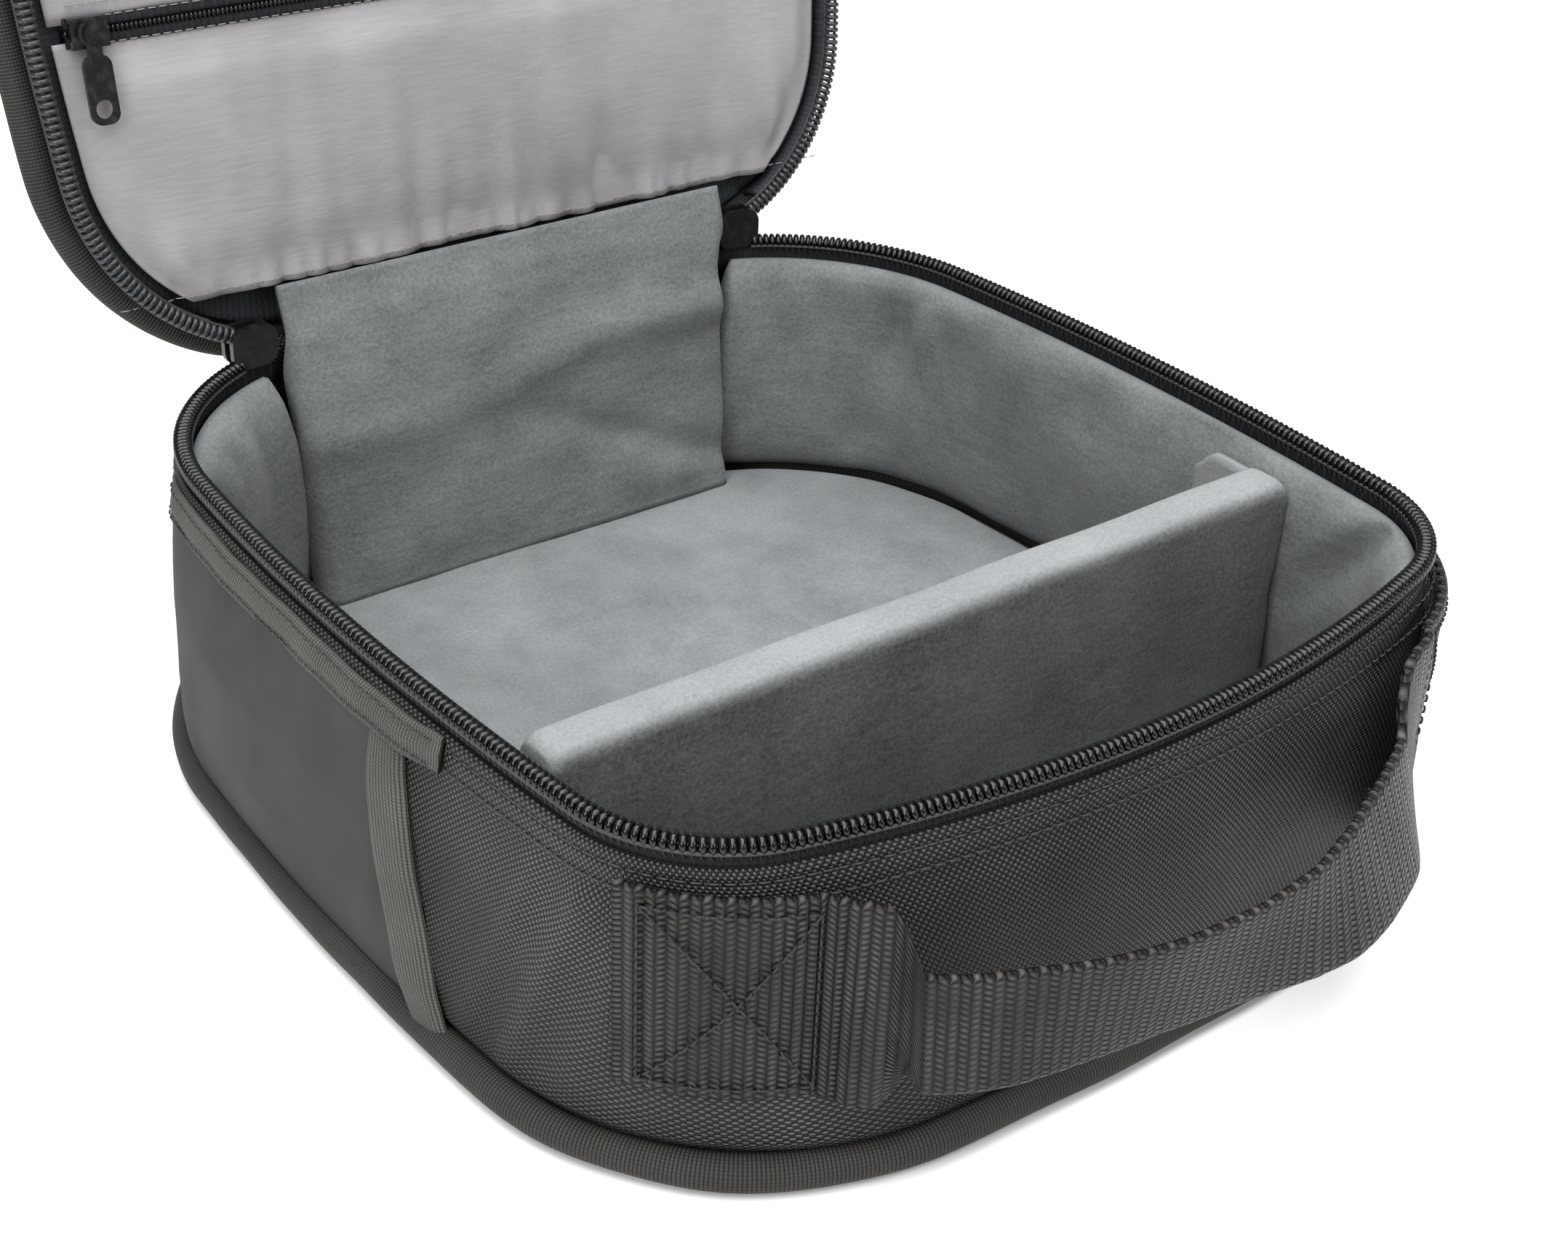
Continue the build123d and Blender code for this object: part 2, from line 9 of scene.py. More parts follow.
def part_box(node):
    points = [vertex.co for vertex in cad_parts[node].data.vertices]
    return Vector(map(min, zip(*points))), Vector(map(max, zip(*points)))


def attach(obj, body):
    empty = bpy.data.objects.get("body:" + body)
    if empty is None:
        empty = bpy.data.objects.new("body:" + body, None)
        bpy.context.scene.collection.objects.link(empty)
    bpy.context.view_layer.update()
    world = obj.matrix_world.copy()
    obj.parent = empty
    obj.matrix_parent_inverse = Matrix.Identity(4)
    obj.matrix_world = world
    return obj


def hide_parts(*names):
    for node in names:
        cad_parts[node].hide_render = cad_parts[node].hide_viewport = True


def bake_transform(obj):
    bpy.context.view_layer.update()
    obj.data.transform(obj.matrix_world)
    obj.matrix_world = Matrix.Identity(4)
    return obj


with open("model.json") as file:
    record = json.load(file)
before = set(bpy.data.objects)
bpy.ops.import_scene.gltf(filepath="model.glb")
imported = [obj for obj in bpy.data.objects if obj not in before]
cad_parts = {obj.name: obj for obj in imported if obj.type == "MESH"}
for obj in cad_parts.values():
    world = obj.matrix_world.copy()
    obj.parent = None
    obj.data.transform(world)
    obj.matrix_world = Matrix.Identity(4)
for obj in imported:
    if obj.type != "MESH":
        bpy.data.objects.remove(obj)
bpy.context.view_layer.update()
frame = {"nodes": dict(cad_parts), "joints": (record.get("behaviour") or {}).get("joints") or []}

MM = 0.001                          # the shapes below are worked out in millimetres

# ---- the case's outlines, in mm
# width, depth, front corner radius, back corner radius, front bow, side bow, back bow
FOOT = (254.0, 270.0, 71.0, 85.0, 10.0, 10.5, 2.0)
WALL_FOOT = (252.0, 268.0, 70.0, 84.0, 10.0, 10.5, 2.0)
WALL_RIM = (239.7, 258.8, 38.5, 65.4, 22.5, 10.2, 2.0)
RIM = (235.7, 254.8, 36.5, 63.4, 22.5, 10.2, 2.0)
LID_RIM = (235.7, 254.8, 36.5, 54.2, 22.5, 10.2, 3.3)
WALL_BOTTOM, WALL_TOP = 8.3, 72.0
RIM_HEIGHT = 80.5
ARC_STEPS = (110, 64, 90, 72, 84, 72, 90, 64)
PIPING_RADIUS = 4.0
FLOOR_TOP = 10.0
ZIP_END = 80.0                      # the open zip chains stop this far from the middle of the back
TAPE_END = 72.0
HINGE_HALF = 67.0
POCKET_ZIP_Y = 45.0
LINING_SEAM_Y = 112.5
COIL_PITCH = 1.75
HANDLE_Z = 44.0
EDGE_DROP = 1.7                     # the wall's folded edge stands this much below its section's heights
LINING_IN = 5.2                     # the lid's lining lies this far in from the rim, and this far above it
LINING_FRONT_Y = -121.5
POCKET_ZIP_HALF = 108

JOINTS = {joint["name"]: joint for joint in frame["joints"]}
HINGE_Y, HINGE_Z = [value / MM for value in JOINTS["lid_hinge"]["pos_m"][1:]]
OPEN_ANGLE = -radians(JOINTS["lid_hinge"]["range_deg"][0])
BACK = ARC_STEPS[0] + ARC_STEPS[1] + ARC_STEPS[2] + ARC_STEPS[3] + ARC_STEPS[4] // 2


def unit(vectors):
    return vectors / np.linalg.norm(vectors, axis=-1)[..., None]


def lay(x, y, z):
    """Points from three coordinates, each a number or a list of them."""
    return np.stack(np.broadcast_arrays(np.asarray(x, float), y, z), -1)


def corner_centre(centre_a, reach_a, centre_b, reach_b, back):
    gap = np.subtract(centre_b, centre_a)
    length = hypot(*gap)
    along = (reach_a**2 - reach_b**2 + length**2) / (2 * length)
    across = sqrt(reach_a**2 - along**2)
    forward = gap / length
    aside = np.array((-forward[1], forward[0])) * across
    pair = [np.add(centre_a, along * forward) + side * aside for side in (1, -1)]
    flip = -1 if back else 1
    return max(pair, key=lambda point: point[0] - flip * point[1])


def arcs(shape):
    """Eight tangent arcs, anticlockwise from the front: centre, radius, start angle, end angle."""
    width, depth, front_radius, back_radius, front_bow, side_bow, back_bow = shape
    front, side, back = [(half**2 + bow**2) / (2 * bow) for half, bow in
                         ((width / 2, front_bow), (depth / 2, side_bow), (width / 2, back_bow))]
    front_centre = (0, front - depth / 2)
    side_centre = (width / 2 - side, 0)
    back_centre = (0, depth / 2 - back)
    near = corner_centre(front_centre, front - front_radius, side_centre, side - front_radius, False)
    far = corner_centre(back_centre, back - back_radius, side_centre, side - back_radius, True)
    turns = [atan2(near[1] - front_centre[1], near[0]), atan2(near[1], near[0] - side_centre[0]),
             atan2(far[1], far[0] - side_centre[0]), atan2(far[1] - back_centre[1], far[0])]
    right = [(front_centre, front, -pi - turns[0], turns[0]), (near, front_radius, turns[0], turns[1]),
             (side_centre, side, turns[1], turns[2]), (far, back_radius, turns[2], turns[3])]
    left = [((-far[0], far[1]), back_radius, pi - turns[3], pi - turns[2]),
            ((-side_centre[0], 0), side, pi - turns[2], pi - turns[1]),
            ((-near[0], near[1]), front_radius, pi - turns[1], pi - turns[0])]
    return right + [(back_centre, back, turns[3], pi - turns[3])] + left


def ring(shape, off=0.0):
    """Points round an outline, anticlockwise from the middle of the back. off may differ per point."""
    points, normals = [], []
    for (centre, radius, start, end), steps in zip(arcs(shape), ARC_STEPS):
        angles = start + (end - start) * np.arange(steps) / steps
        normals.append(np.stack([np.cos(angles), np.sin(angles)], -1))
        points.append(np.array(centre) + radius * normals[-1])
    points, normals = np.concatenate(points), np.concatenate(normals)
    points, normals = np.roll(points, -BACK, 0), np.roll(normals, -BACK, 0)
    return points + normals * np.reshape(off, (-1, 1)) if np.ndim(off) else points + normals * off


def normals_of(shape):
    return ring(shape, 1.0) - ring(shape)


def facing_of(shape):
    """Outward directions round an outline, as level 3-D vectors."""
    return level(normals_of(shape), 0)


def wall_shape(z):
    share = (z - WALL_BOTTOM) / (WALL_TOP - WALL_BOTTOM)
    return tuple(a + (b - a) * share for a, b in zip(WALL_FOOT, WALL_RIM))


def level(points, z):
    """Plan points at a height, or at one height each."""
    return np.concatenate([points, np.broadcast_to(np.reshape(z, (-1, 1)), (len(points), 1))], 1)


def wall_row(z, off=0.0):
    """One row round the leaning wall."""
    if np.ndim(z) == 0:
        return level(ring(wall_shape(z), off), z)
    low, high = float(np.min(z)), float(np.max(z)) + 1e-6
    bottom, top = ring(wall_shape(low), off), ring(wall_shape(high), off)
    share = (np.reshape(z, (-1, 1)) - low) / (high - low)
    return level(bottom + (top - bottom) * share, z)


def to_lid(points):
    """Closed-lid coordinates carried to the open lid."""
    points = np.asarray(points, float)
    y, z = points[..., 1] - HINGE_Y, points[..., 2] - HINGE_Z
    turned = points.copy()
    turned[..., 1] = HINGE_Y + y * cos(OPEN_ANGLE) + z * sin(OPEN_ANGLE)
    turned[..., 2] = HINGE_Z - y * sin(OPEN_ANGLE) + z * cos(OPEN_ANGLE)
    return turned


def carry_axes(places, axes):
    """Places on the closed lid, each with three directions, carried to the open lid."""
    carried = to_lid(places)
    return carried, np.stack([to_lid(places + axes[:, i]) - carried for i in range(3)], 1)


def smooth(low, high, value):
    share = np.clip((value - low) / (high - low), 0, 1)
    return share * share * (3 - 2 * share)


def bump_at(value, centre, width):
    return np.exp(-((value - centre) / width) ** 2)


def waves(points, wavelength, seed, stretch=(1, 1, 1), count=9):
    """Smooth random field in about -1..1, the same every run."""
    dice = np.random.default_rng(seed)
    total = np.zeros(points.shape[:-1])
    for _ in range(count):
        direction = unit(dice.normal(size=3))
        scale = wavelength * dice.uniform(0.7, 1.5)
        phase = dice.uniform(0, 2 * pi)
        total += np.sin((points / np.array(stretch)) @ direction * 2 * pi / scale + phase)
    return total / sqrt(count)


def lengths(points, closed=False):
    """Distance travelled at each point of a line."""
    if closed:
        points = np.concatenate([points, points[:1]])
    return np.concatenate([[0], np.cumsum(np.linalg.norm(np.diff(points, axis=0), axis=1))])


def at_places(places, travelled, values):
    return np.stack([np.interp(places, travelled, column) for column in np.transpose(values)], -1)


def resample(points, step):
    travelled = lengths(points)
    count = max(2, int(round(travelled[-1] / step)) + 1)
    return at_places(np.linspace(0, travelled[-1], count), travelled, points)


def spline(points, steps=14):
    """Smooth line through a few points."""
    points = np.asarray(points, float)
    padded = np.concatenate([[2 * points[0] - points[1]], points, [2 * points[-1] - points[-2]]])
    line = []
    for a, b, c, d in zip(padded, padded[1:], padded[2:], padded[3:]):
        t = np.linspace(0, 1, steps, endpoint=False)[:, None]
        line.append(0.5 * (2 * b + (c - a) * t + (2 * a - 5 * b + 4 * c - d) * t**2
                           + (3 * b - a - 3 * c + d) * t**3))
    return np.concatenate(line + [points[-1:]])


# ---- meshes
def mesh_object(name, points, faces, material, uv=None):
    mesh = bpy.data.meshes.new(name)
    mesh.from_pydata((np.asarray(points) * MM).tolist(), [], faces)
    if uv is not None:
        layer = mesh.uv_layers.new(name="weave")
        layer.data.foreach_set("uv", np.asarray(uv, np.float32).ravel())
    mesh.polygons.foreach_set("use_smooth", [True] * len(mesh.polygons))
    mesh.materials.append(material)
    mesh.update()
    piece = bpy.data.objects.new(name, mesh)
    bpy.context.scene.collection.objects.link(piece)
    return piece


def grid(name, rows, material, closed_u=False, closed_v=False, caps=False, plan_uv=None, thickness=0.0):
    """Mesh from rows of points, in mm. The weave's UV is the distance travelled, in mm."""
    rows = np.asarray(rows, float)
    v_count, u_count = rows.shape[:2]
    u_range, v_range = np.arange(u_count - (not closed_u)), np.arange(v_count - (not closed_v))
    u, v = np.meshgrid(u_range, v_range)
    u_next, v_next = (u + 1) % u_count, (v + 1) % v_count
    corners = np.stack([v * u_count + u, v * u_count + u_next, v_next * u_count + u_next,
                        v_next * u_count + u], -1).reshape(-1, 4)
    if plan_uv is None:
        along = lengths(rows[v_count // 2], closed_u)
        across = lengths(rows[:, u_count // 2], closed_v)
        uv = np.stack([np.stack([along[u + i], across[v + j]], -1) for i, j in ((0, 0), (1, 0), (1, 1), (0, 1))], 2)
        uv = uv.reshape(-1, 2)
    else:
        uv = np.asarray(plan_uv, float).reshape(-1, 2)[corners.ravel()]
    faces = corners.tolist()
    if caps:
        index = np.arange(v_count * u_count).reshape(v_count, u_count)
        ends = (index[0, ::-1], index[-1]) if closed_u else (index[:, 0], index[::-1, -1])
        flat = np.zeros((index.size, 2)) if plan_uv is None else np.asarray(plan_uv, float).reshape(-1, 2)
        for end in ends:
            faces.append(end.tolist())
            uv = np.concatenate([uv, flat[end]])
    piece = mesh_object(name, rows.reshape(-1, 3), faces, material, uv)
    if thickness:
        solid = piece.modifiers.new("thickness", "SOLIDIFY")
        solid.thickness = thickness * MM
        solid.offset = 0
    return piece


def tube(name, path, radius, material, sides=10, closed=False, up=(0, 0, 1)):
    """Round cord along a line. radius may differ per point."""
    path = np.asarray(path, float)
    ahead = unit(np.roll(path, -1, 0) - np.roll(path, 1, 0) if closed else np.gradient(path, axis=0))
    side = unit(np.cross(ahead, up))
    over = np.cross(side, ahead)
    radius = np.broadcast_to(radius, (len(path),))[None, :, None]
    angles = np.arange(sides) * 2 * pi / sides
    rows = path[None] + radius * (side[None] * np.cos(angles)[:, None, None]
                                  + over[None] * np.sin(angles)[:, None, None])
    return grid(name, rows, material, closed_u=closed, closed_v=True, caps=not closed)


def repeated(name, template, faces, places, axes, material):
    """One mesh of many small copies. axes holds each copy's three directions."""
    template = np.asarray(template, float)
    points = places[:, None] + np.einsum("pk,nkj->npj", template, axes)
    offsets = np.arange(len(places)) * len(template)
    all_faces = [[i + start for i in face] for start in offsets.tolist() for face in faces]
    return mesh_object(name, points.reshape(-1, 3), all_faces, material)


def rod_faces(count, sides):
    """Faces of a rod of that many rounds, with closed ends."""
    faces = [[i * sides + j, i * sides + (j + 1) % sides, (i + 1) * sides + (j + 1) % sides, (i + 1) * sides + j]
             for i in range(count - 1) for j in range(sides)]
    last = (count - 1) * sides
    return faces + [list(range(sides))[::-1], [last + j for j in range(sides)]]


def bent_tube(line, radii, sides=8):
    """Template of one bent rod: its points and faces."""
    line = np.asarray(line, float)
    ahead = unit(np.gradient(line, axis=0))
    flat = unit(np.cross(ahead, (1, 0, 0)))
    across = np.cross(flat, ahead)
    angles = np.arange(sides) * 2 * pi / sides
    points = np.concatenate([centre + radius * (f * np.cos(angles)[:, None] + a * np.sin(angles)[:, None])
                             for centre, radius, f, a in zip(line, radii, flat, across)])
    return points, rod_faces(len(line), sides)


def along(path, normals, spacing, start=0.0):
    """Evenly spaced places on a line, each with its three directions: ahead, outward, up."""
    travelled = lengths(path)
    places = np.arange(start, travelled[-1], spacing)
    centre = at_places(places, travelled, path)
    outward = unit(at_places(places, travelled, normals))
    ahead = unit(at_places(places + 0.4, travelled, path) - centre)
    return centre, np.stack([ahead, outward, np.cross(ahead, outward)], 1)


def stitches(name, path, normals, material, pitch=3.2, thread=0.3, fill=0.78, slant=0.0):
    """Row of sewn stitches lying on a surface."""
    half = pitch * fill / 2
    line = ((-half, -0.28, -slant), (-half * 0.8, 0.1, -slant * 0.8), (0, 0.24, 0),
            (half * 0.8, 0.1, slant * 0.8), (half, -0.28, slant))
    sides = 6
    angles = np.arange(sides) * 2 * pi / sides
    radii = np.array((0.5, 0.9, 1, 0.9, 0.5)) * thread
    points = np.concatenate([[(c[0], c[1] + r * cos(a), c[2] + r * sin(a)) for a in angles]
                             for c, r in zip(line, radii)])
    places, axes = along(path, normals, pitch, start=pitch / 2)
    return repeated(name, points, rod_faces(len(line), sides), places, axes, material)


def join(pieces, name):
    bpy.ops.object.select_all(action="DESELECT")
    for piece in pieces:
        piece.select_set(True)
    bpy.context.view_layer.objects.active = pieces[0]
    bpy.ops.object.join()
    pieces[0].name = name
    return pieces[0]


def place(piece, body, slot, *nodes):
    """Rides on a body and stands for CAD nodes, which it hides. slot is not used."""
    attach(piece, body)
    if nodes:
        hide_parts(*nodes)
    return piece


# ---- materials
class Shader:
    """Principled material with helpers for procedural patterns. Weaves use the UV in mm."""

    def __init__(self, name, **values):
        self.material = bpy.data.materials.new(name)
        self.material.use_nodes = True
        self.nodes, self.links = self.material.node_tree.nodes, self.material.node_tree.links
        self.surface = self.nodes["Principled BSDF"]
        for key, value in values.items():
            self.surface.inputs[key.replace("_", " ")].default_value = value

    def add(self, kind, inputs=(), **settings):
        node = self.nodes.new(kind)
        for key, value in settings.items():
            setattr(node, key, value)
        for key, value in dict(inputs).items():
            self.feed(node.inputs[key], value)
        return node

    def feed(self, socket, value):
        if isinstance(value, bpy.types.NodeSocket):
            self.links.new(value, socket)
        else:
            socket.default_value = value

    def math(self, operation, a, b=0.0, c=None):
        node = self.add("ShaderNodeMath", {0: a, 1: b}, operation=operation)
        if c is not None:
            self.feed(node.inputs[2], c)
        return node.outputs[0]

    def times(self, a, b):
        return self.math("MULTIPLY", a, b)

    def scaled(self, a, by, plus):
        return self.math("MULTIPLY_ADD", a, by, plus)

    def parity(self, cell):
        """0 in even cells, 1 in odd ones."""
        return self.math("FLOORED_MODULO", cell, 2.0)

    def cell(self, coordinate, pitch):
        return self.math("FLOOR", self.math("DIVIDE", coordinate, pitch))

    def uv(self):
        split = self.add("ShaderNodeSeparateXYZ", {0: self.add("ShaderNodeUVMap", uv_map="weave").outputs[0]})
        return split.outputs[0], split.outputs[1]

    def place_mm(self, stretch=(1, 1, 1)):
        """Object coordinates in mm, stretched."""
        source = self.add("ShaderNodeTexCoord").outputs["Object"]
        scale = tuple(1000 / value for value in stretch)
        return self.add("ShaderNodeVectorMath", {0: source, 1: scale}, operation="MULTIPLY").outputs[0]

    def noise(self, size, detail=2.0, stretch=(1, 1, 1), low=0.3, high=0.7, roughness=0.5):
        """Noise with features of that size in mm, spread to 0..1."""
        node = self.add("ShaderNodeTexNoise", {"Vector": self.place_mm(stretch), "Scale": 1 / size,
                                               "Detail": detail, "Roughness": roughness})
        return self.add("ShaderNodeMapRange", {0: node.outputs["Fac"], 1: low, 2: high}).outputs[0]

    def mix(self, share, a, b):
        node = self.add("ShaderNodeMix", data_type="RGBA")
        for index, value in ((0, share), (6, a), (7, b)):
            self.feed(node.inputs[index], value if isinstance(value, (float, bpy.types.NodeSocket)) else (*value, 1))
        return node.outputs[2]

    def wave(self, coordinate, pitch, phase=0.0):
        """Half cosine arch in each cell of that pitch: 1 in its middle, 0 at its edges."""
        cell = self.math("FRACT", self.math("ADD", self.math("DIVIDE", coordinate, pitch), phase))
        return self.math("SINE", self.times(cell, pi))

    def basket(self, pitch_u, pitch_v):
        u, v = self.uv()
        across, down = self.wave(u, pitch_u), self.wave(v, pitch_v)
        parity = self.parity(self.math("ADD", self.cell(u, pitch_u), self.cell(v, pitch_v)))
        warp = self.times(self.math("POWER", across, 0.6), self.scaled(down, 0.5, 0.5))
        weft = self.times(self.math("POWER", down, 0.6), self.scaled(across, 0.5, 0.5))
        node = self.add("ShaderNodeMix", {0: parity, 2: warp, 3: weft})
        return node.outputs[0]

    def chevron(self, pitch_u, pitch_v, slant):
        """Columns of short slanted floats that lean left and right by turns."""
        u, v = self.uv()
        column = self.cell(u, pitch_u)
        lean = self.scaled(self.parity(column), 2.0, -1.0)
        inside = self.math("SUBTRACT", self.math("FRACT", self.math("DIVIDE", u, pitch_u)), 0.5)
        shifted = self.scaled(self.times(lean, inside), slant * pitch_u, v)
        shifted = self.scaled(column, pitch_v * 0.5, shifted)
        return self.times(self.math("POWER", self.wave(u, pitch_u), 0.5),
                         self.math("POWER", self.wave(shifted, pitch_v), 0.7))

    def relief(self, height, depth_mm, strength=1.0, after=None):
        node = self.add("ShaderNodeBump", {"Height": height, "Distance": depth_mm * MM, "Strength": strength})
        if after is not None:
            self.feed(node.inputs["Normal"], after)
        return node.outputs[0]

    def finish(self, color, normal=None, roughness=None):
        self.feed(self.surface.inputs["Base Color"], color)
        if normal is not None:
            self.feed(self.surface.inputs["Normal"], normal)
        if roughness is not None:
            self.feed(self.surface.inputs["Roughness"], roughness)
        return self.material


def ballistic():
    s = Shader("ballistic_weave", Roughness=0.5, Specular_IOR_Level=0.22)
    pitch = 0.78
    weave = s.basket(pitch, pitch)
    # broad random patches of wear in the thread colour
    wear_and_lit_top = s.noise(38, 3)
    fibre = s.noise(0.22, 2, low=0.2, high=0.8)
    light = s.mix(wear_and_lit_top, (0.065, 0.065, 0.063), (0.13, 0.13, 0.125))
    u, v = s.uv()
    # painted highlight: cells of one thread direction take the bright thread colour, the others go near black as
    # painted shade
    odd = s.parity(s.math("ADD", s.cell(u, pitch), s.cell(v, pitch)))
    light = s.mix(odd, (0.007, 0.007, 0.0068), light)
    # painted shade in the gaps: the weave's low parts go near black and its raised thread tops take the bright colour
    color = s.mix(s.times(weave, s.scaled(fibre, 0.5, 0.6)), (0.002, 0.002, 0.002), light)
    normal = s.relief(fibre, 0.05, 0.4, s.relief(weave, 0.34))
    return s.finish(color, normal, s.scaled(fibre, 0.2, 0.38))


def twill(name, dark, light):
    s = Shader(name, Roughness=0.6, Specular_IOR_Level=0.15)
    u, v = s.uv()
    ribs = s.wave(s.math("ADD", u, s.times(v, 1.6)), 0.62)
    fibre = s.noise(0.3, 3, low=0.25, high=0.75)
    color = s.mix(s.scaled(ribs, 0.35, s.times(s.noise(26, 3), 0.6)), dark, light)
    return s.finish(color, s.relief(fibre, 0.04, 0.5, s.relief(ribs, 0.09, 0.6)))


def webbing():
    s = Shader("handle_webbing", Roughness=0.4, Specular_IOR_Level=0.25)
    floats = s.chevron(2.1, 1.3, 0.3)
    fibre = s.noise(0.25, 2, stretch=(2.5, 2.5, 1), low=0.25, high=0.75)
    tone = s.mix(s.noise(14, 2), (0.032, 0.028, 0.025), (0.088, 0.079, 0.072))
    lit = s.math("POWER", floats, 3.2)
    color = s.mix(s.times(lit, s.scaled(fibre, 0.6, 0.5)), (0.002, 0.0018, 0.0016), tone)
    normal = s.relief(fibre, 0.07, 0.5, s.relief(floats, 0.6))
    return s.finish(color, normal, s.scaled(fibre, 0.25, 0.3))


def ribbed(name, dark, light, pitch_u, pitch_v, depth):
    """Ribs across the piece, with a finer thread along it."""
    s = Shader(name, Roughness=0.6, Specular_IOR_Level=0.15)
    u, v = s.uv()
    ribs, threads = s.wave(u, pitch_u), s.wave(v, pitch_v)
    height = s.times(s.math("POWER", ribs, 0.6), s.scaled(threads, 0.4, 0.6))
    fibre = s.noise(0.3, 2, low=0.2, high=0.8)
    color = s.mix(s.times(height, s.scaled(fibre, 0.5, 0.6)), dark,
                  s.mix(s.noise(22, 2), light, tuple(c * 1.35 for c in light)))
    return s.finish(color, s.relief(fibre, 0.05, 0.4, s.relief(height, depth)))


def brushed(name, dark, light, grain=0.55, contrast=1.0, top=None):
    """Brushed loop fabric: fine felted fibre, faint crosswise nap, broad soft patches and, when top is given, a paler
    top: painted light on the faces that point up.
    """
    s = Shader(name, Roughness=0.95, Specular_IOR_Level=0.1, Sheen_Weight=0.08, Sheen_Roughness=0.6)
    fibre = s.noise(grain, 5, low=0.28, high=0.72, roughness=0.7)
    nap = s.noise(grain * 2.2, 3, stretch=(4, 4, 1), low=0.25, high=0.75)
    patches = s.noise(30, 3, low=0.3, high=0.7)
    share = s.scaled(fibre, 0.45 * contrast,
                   s.scaled(nap, 0.2, s.times(patches, 0.35)))
    color = s.mix(share, dark, light)
    if top:
        # painted light: faces that point up are mixed towards the paler top colour, as if lit from above
        facing = s.add("ShaderNodeSeparateXYZ", {0: s.add("ShaderNodeTexCoord").outputs["Normal"]}).outputs[2]
        wear_and_lit_top = s.add("ShaderNodeMapRange", {0: facing, 1: 0.15, 2: 0.85}).outputs[0]
        color = s.mix(wear_and_lit_top, color, s.mix(share, tuple(c * 0.6 for c in top), top))
    return s.finish(color, s.relief(fibre, 0.3, 0.55, s.relief(nap, 0.25, 0.3)))


def satin():
    s = Shader("satin_lining", Roughness=0.42, Sheen_Weight=0.15, Sheen_Roughness=0.35)
    u, _ = s.uv()
    threads = s.noise(0.7, 2, stretch=(14, 1, 1), low=0.25, high=0.75)
    clouds = s.noise(34, 2, low=0.3, high=0.7)
    color = s.mix(s.scaled(threads, 0.35, s.times(clouds, 0.5)),
                  (0.19, 0.182, 0.191), (0.305, 0.292, 0.305))
    return s.finish(color, s.relief(threads, 0.05, 0.5, s.relief(s.wave(u, 0.5), 0.03, 0.4)))


def herringbone(name, dark, light):
    s = Shader(name, Roughness=0.55, Specular_IOR_Level=0.15)
    height = s.chevron(1.6, 0.7, 1.1)
    fibre = s.noise(0.3, 2)
    color = s.mix(s.scaled(height, 0.7, s.times(fibre, 0.3)), dark, light)
    return s.finish(color, s.relief(height, 0.16))


def enamel(name, color, roughness, gloss=0.5):
    """Gloss paint or nylon with faint orange peel and rubbed spots."""
    s = Shader(name, Specular_IOR_Level=gloss, IOR=1.5)
    rubbed = s.noise(2.4, 3, low=0.45, high=0.75)
    tone = s.mix(rubbed, color, tuple(c * 1.8 + 0.004 for c in color))
    return s.finish(tone, s.relief(s.noise(0.8, 2), 0.02, 0.3), s.scaled(rubbed, 0.12, roughness))


def thread(name, dark, light):
    s = Shader(name, Roughness=0.5, Specular_IOR_Level=0.25)
    strands = s.noise(0.25, 2, low=0.25, high=0.75)
    return s.finish(s.mix(strands, dark, light), s.relief(strands, 0.08, 0.6))


def board():
    s = Shader("stiffener_board", Roughness=0.7)
    return s.finish(s.mix(s.noise(6, 4), (0.05, 0.05, 0.05), (0.08, 0.08, 0.08)), s.relief(s.noise(0.6, 3), 0.05))


def foam():
    s = Shader("foam_sheet", Roughness=0.95)
    cells = s.noise(0.7, 3, low=0.35, high=0.65)
    return s.finish(s.mix(cells, (0.35, 0.35, 0.34), (0.6, 0.6, 0.58)), s.relief(cells, 0.3))


WEAVE = ballistic()
PIPING = ribbed("piping_fabric", (0.004, 0.004, 0.004), (0.045, 0.043, 0.039), 0.8, 0.8, 0.25)
TWILL = twill("twill_fabric", (0.018, 0.018, 0.017), (0.046, 0.045, 0.043))
GROSGRAIN = ribbed("grosgrain_tape", (0.010, 0.010, 0.009), (0.10, 0.097, 0.09), 0.95, 0.75, 0.22)
WEBBING = webbing()
# The floor pad and the wall lining are one brushed fabric: the floor's copy is painted lighter, painted light on the
# upward-facing floor, and the walls' copy darker, painted shade on the upright walls
LINING = brushed("brushed_lining", (0.05, 0.054, 0.0555), (0.185, 0.196, 0.20), 1.0, 1.25)
FLOOR_LINING_PAINTED_LIT = brushed("brushed_lining_painted_lit_floor", (0.085, 0.091, 0.094), (0.235, 0.249, 0.255), 1.0, 1.1)
# the paler top colour is painted light on the divider's upward-facing top
DIVIDER = brushed("divider_fabric", (0.004, 0.0043, 0.0045), (0.105, 0.11, 0.113), 0.95, 1.8,
                  top=(0.25, 0.262, 0.268))
HOOK = brushed("hook_tape", (0.12, 0.127, 0.13), (0.24, 0.25, 0.255), 0.7, 1.3)
SATIN = satin()
TAPE = herringbone("zip_tape", (0.002, 0.002, 0.003), (0.024, 0.025, 0.029))
LID_TAPE = herringbone("lid_zip_tape", (0.008, 0.009, 0.011), (0.04, 0.043, 0.05))
COIL = enamel("zip_coil", (0.0015, 0.0015, 0.002), 0.12, 0.4)
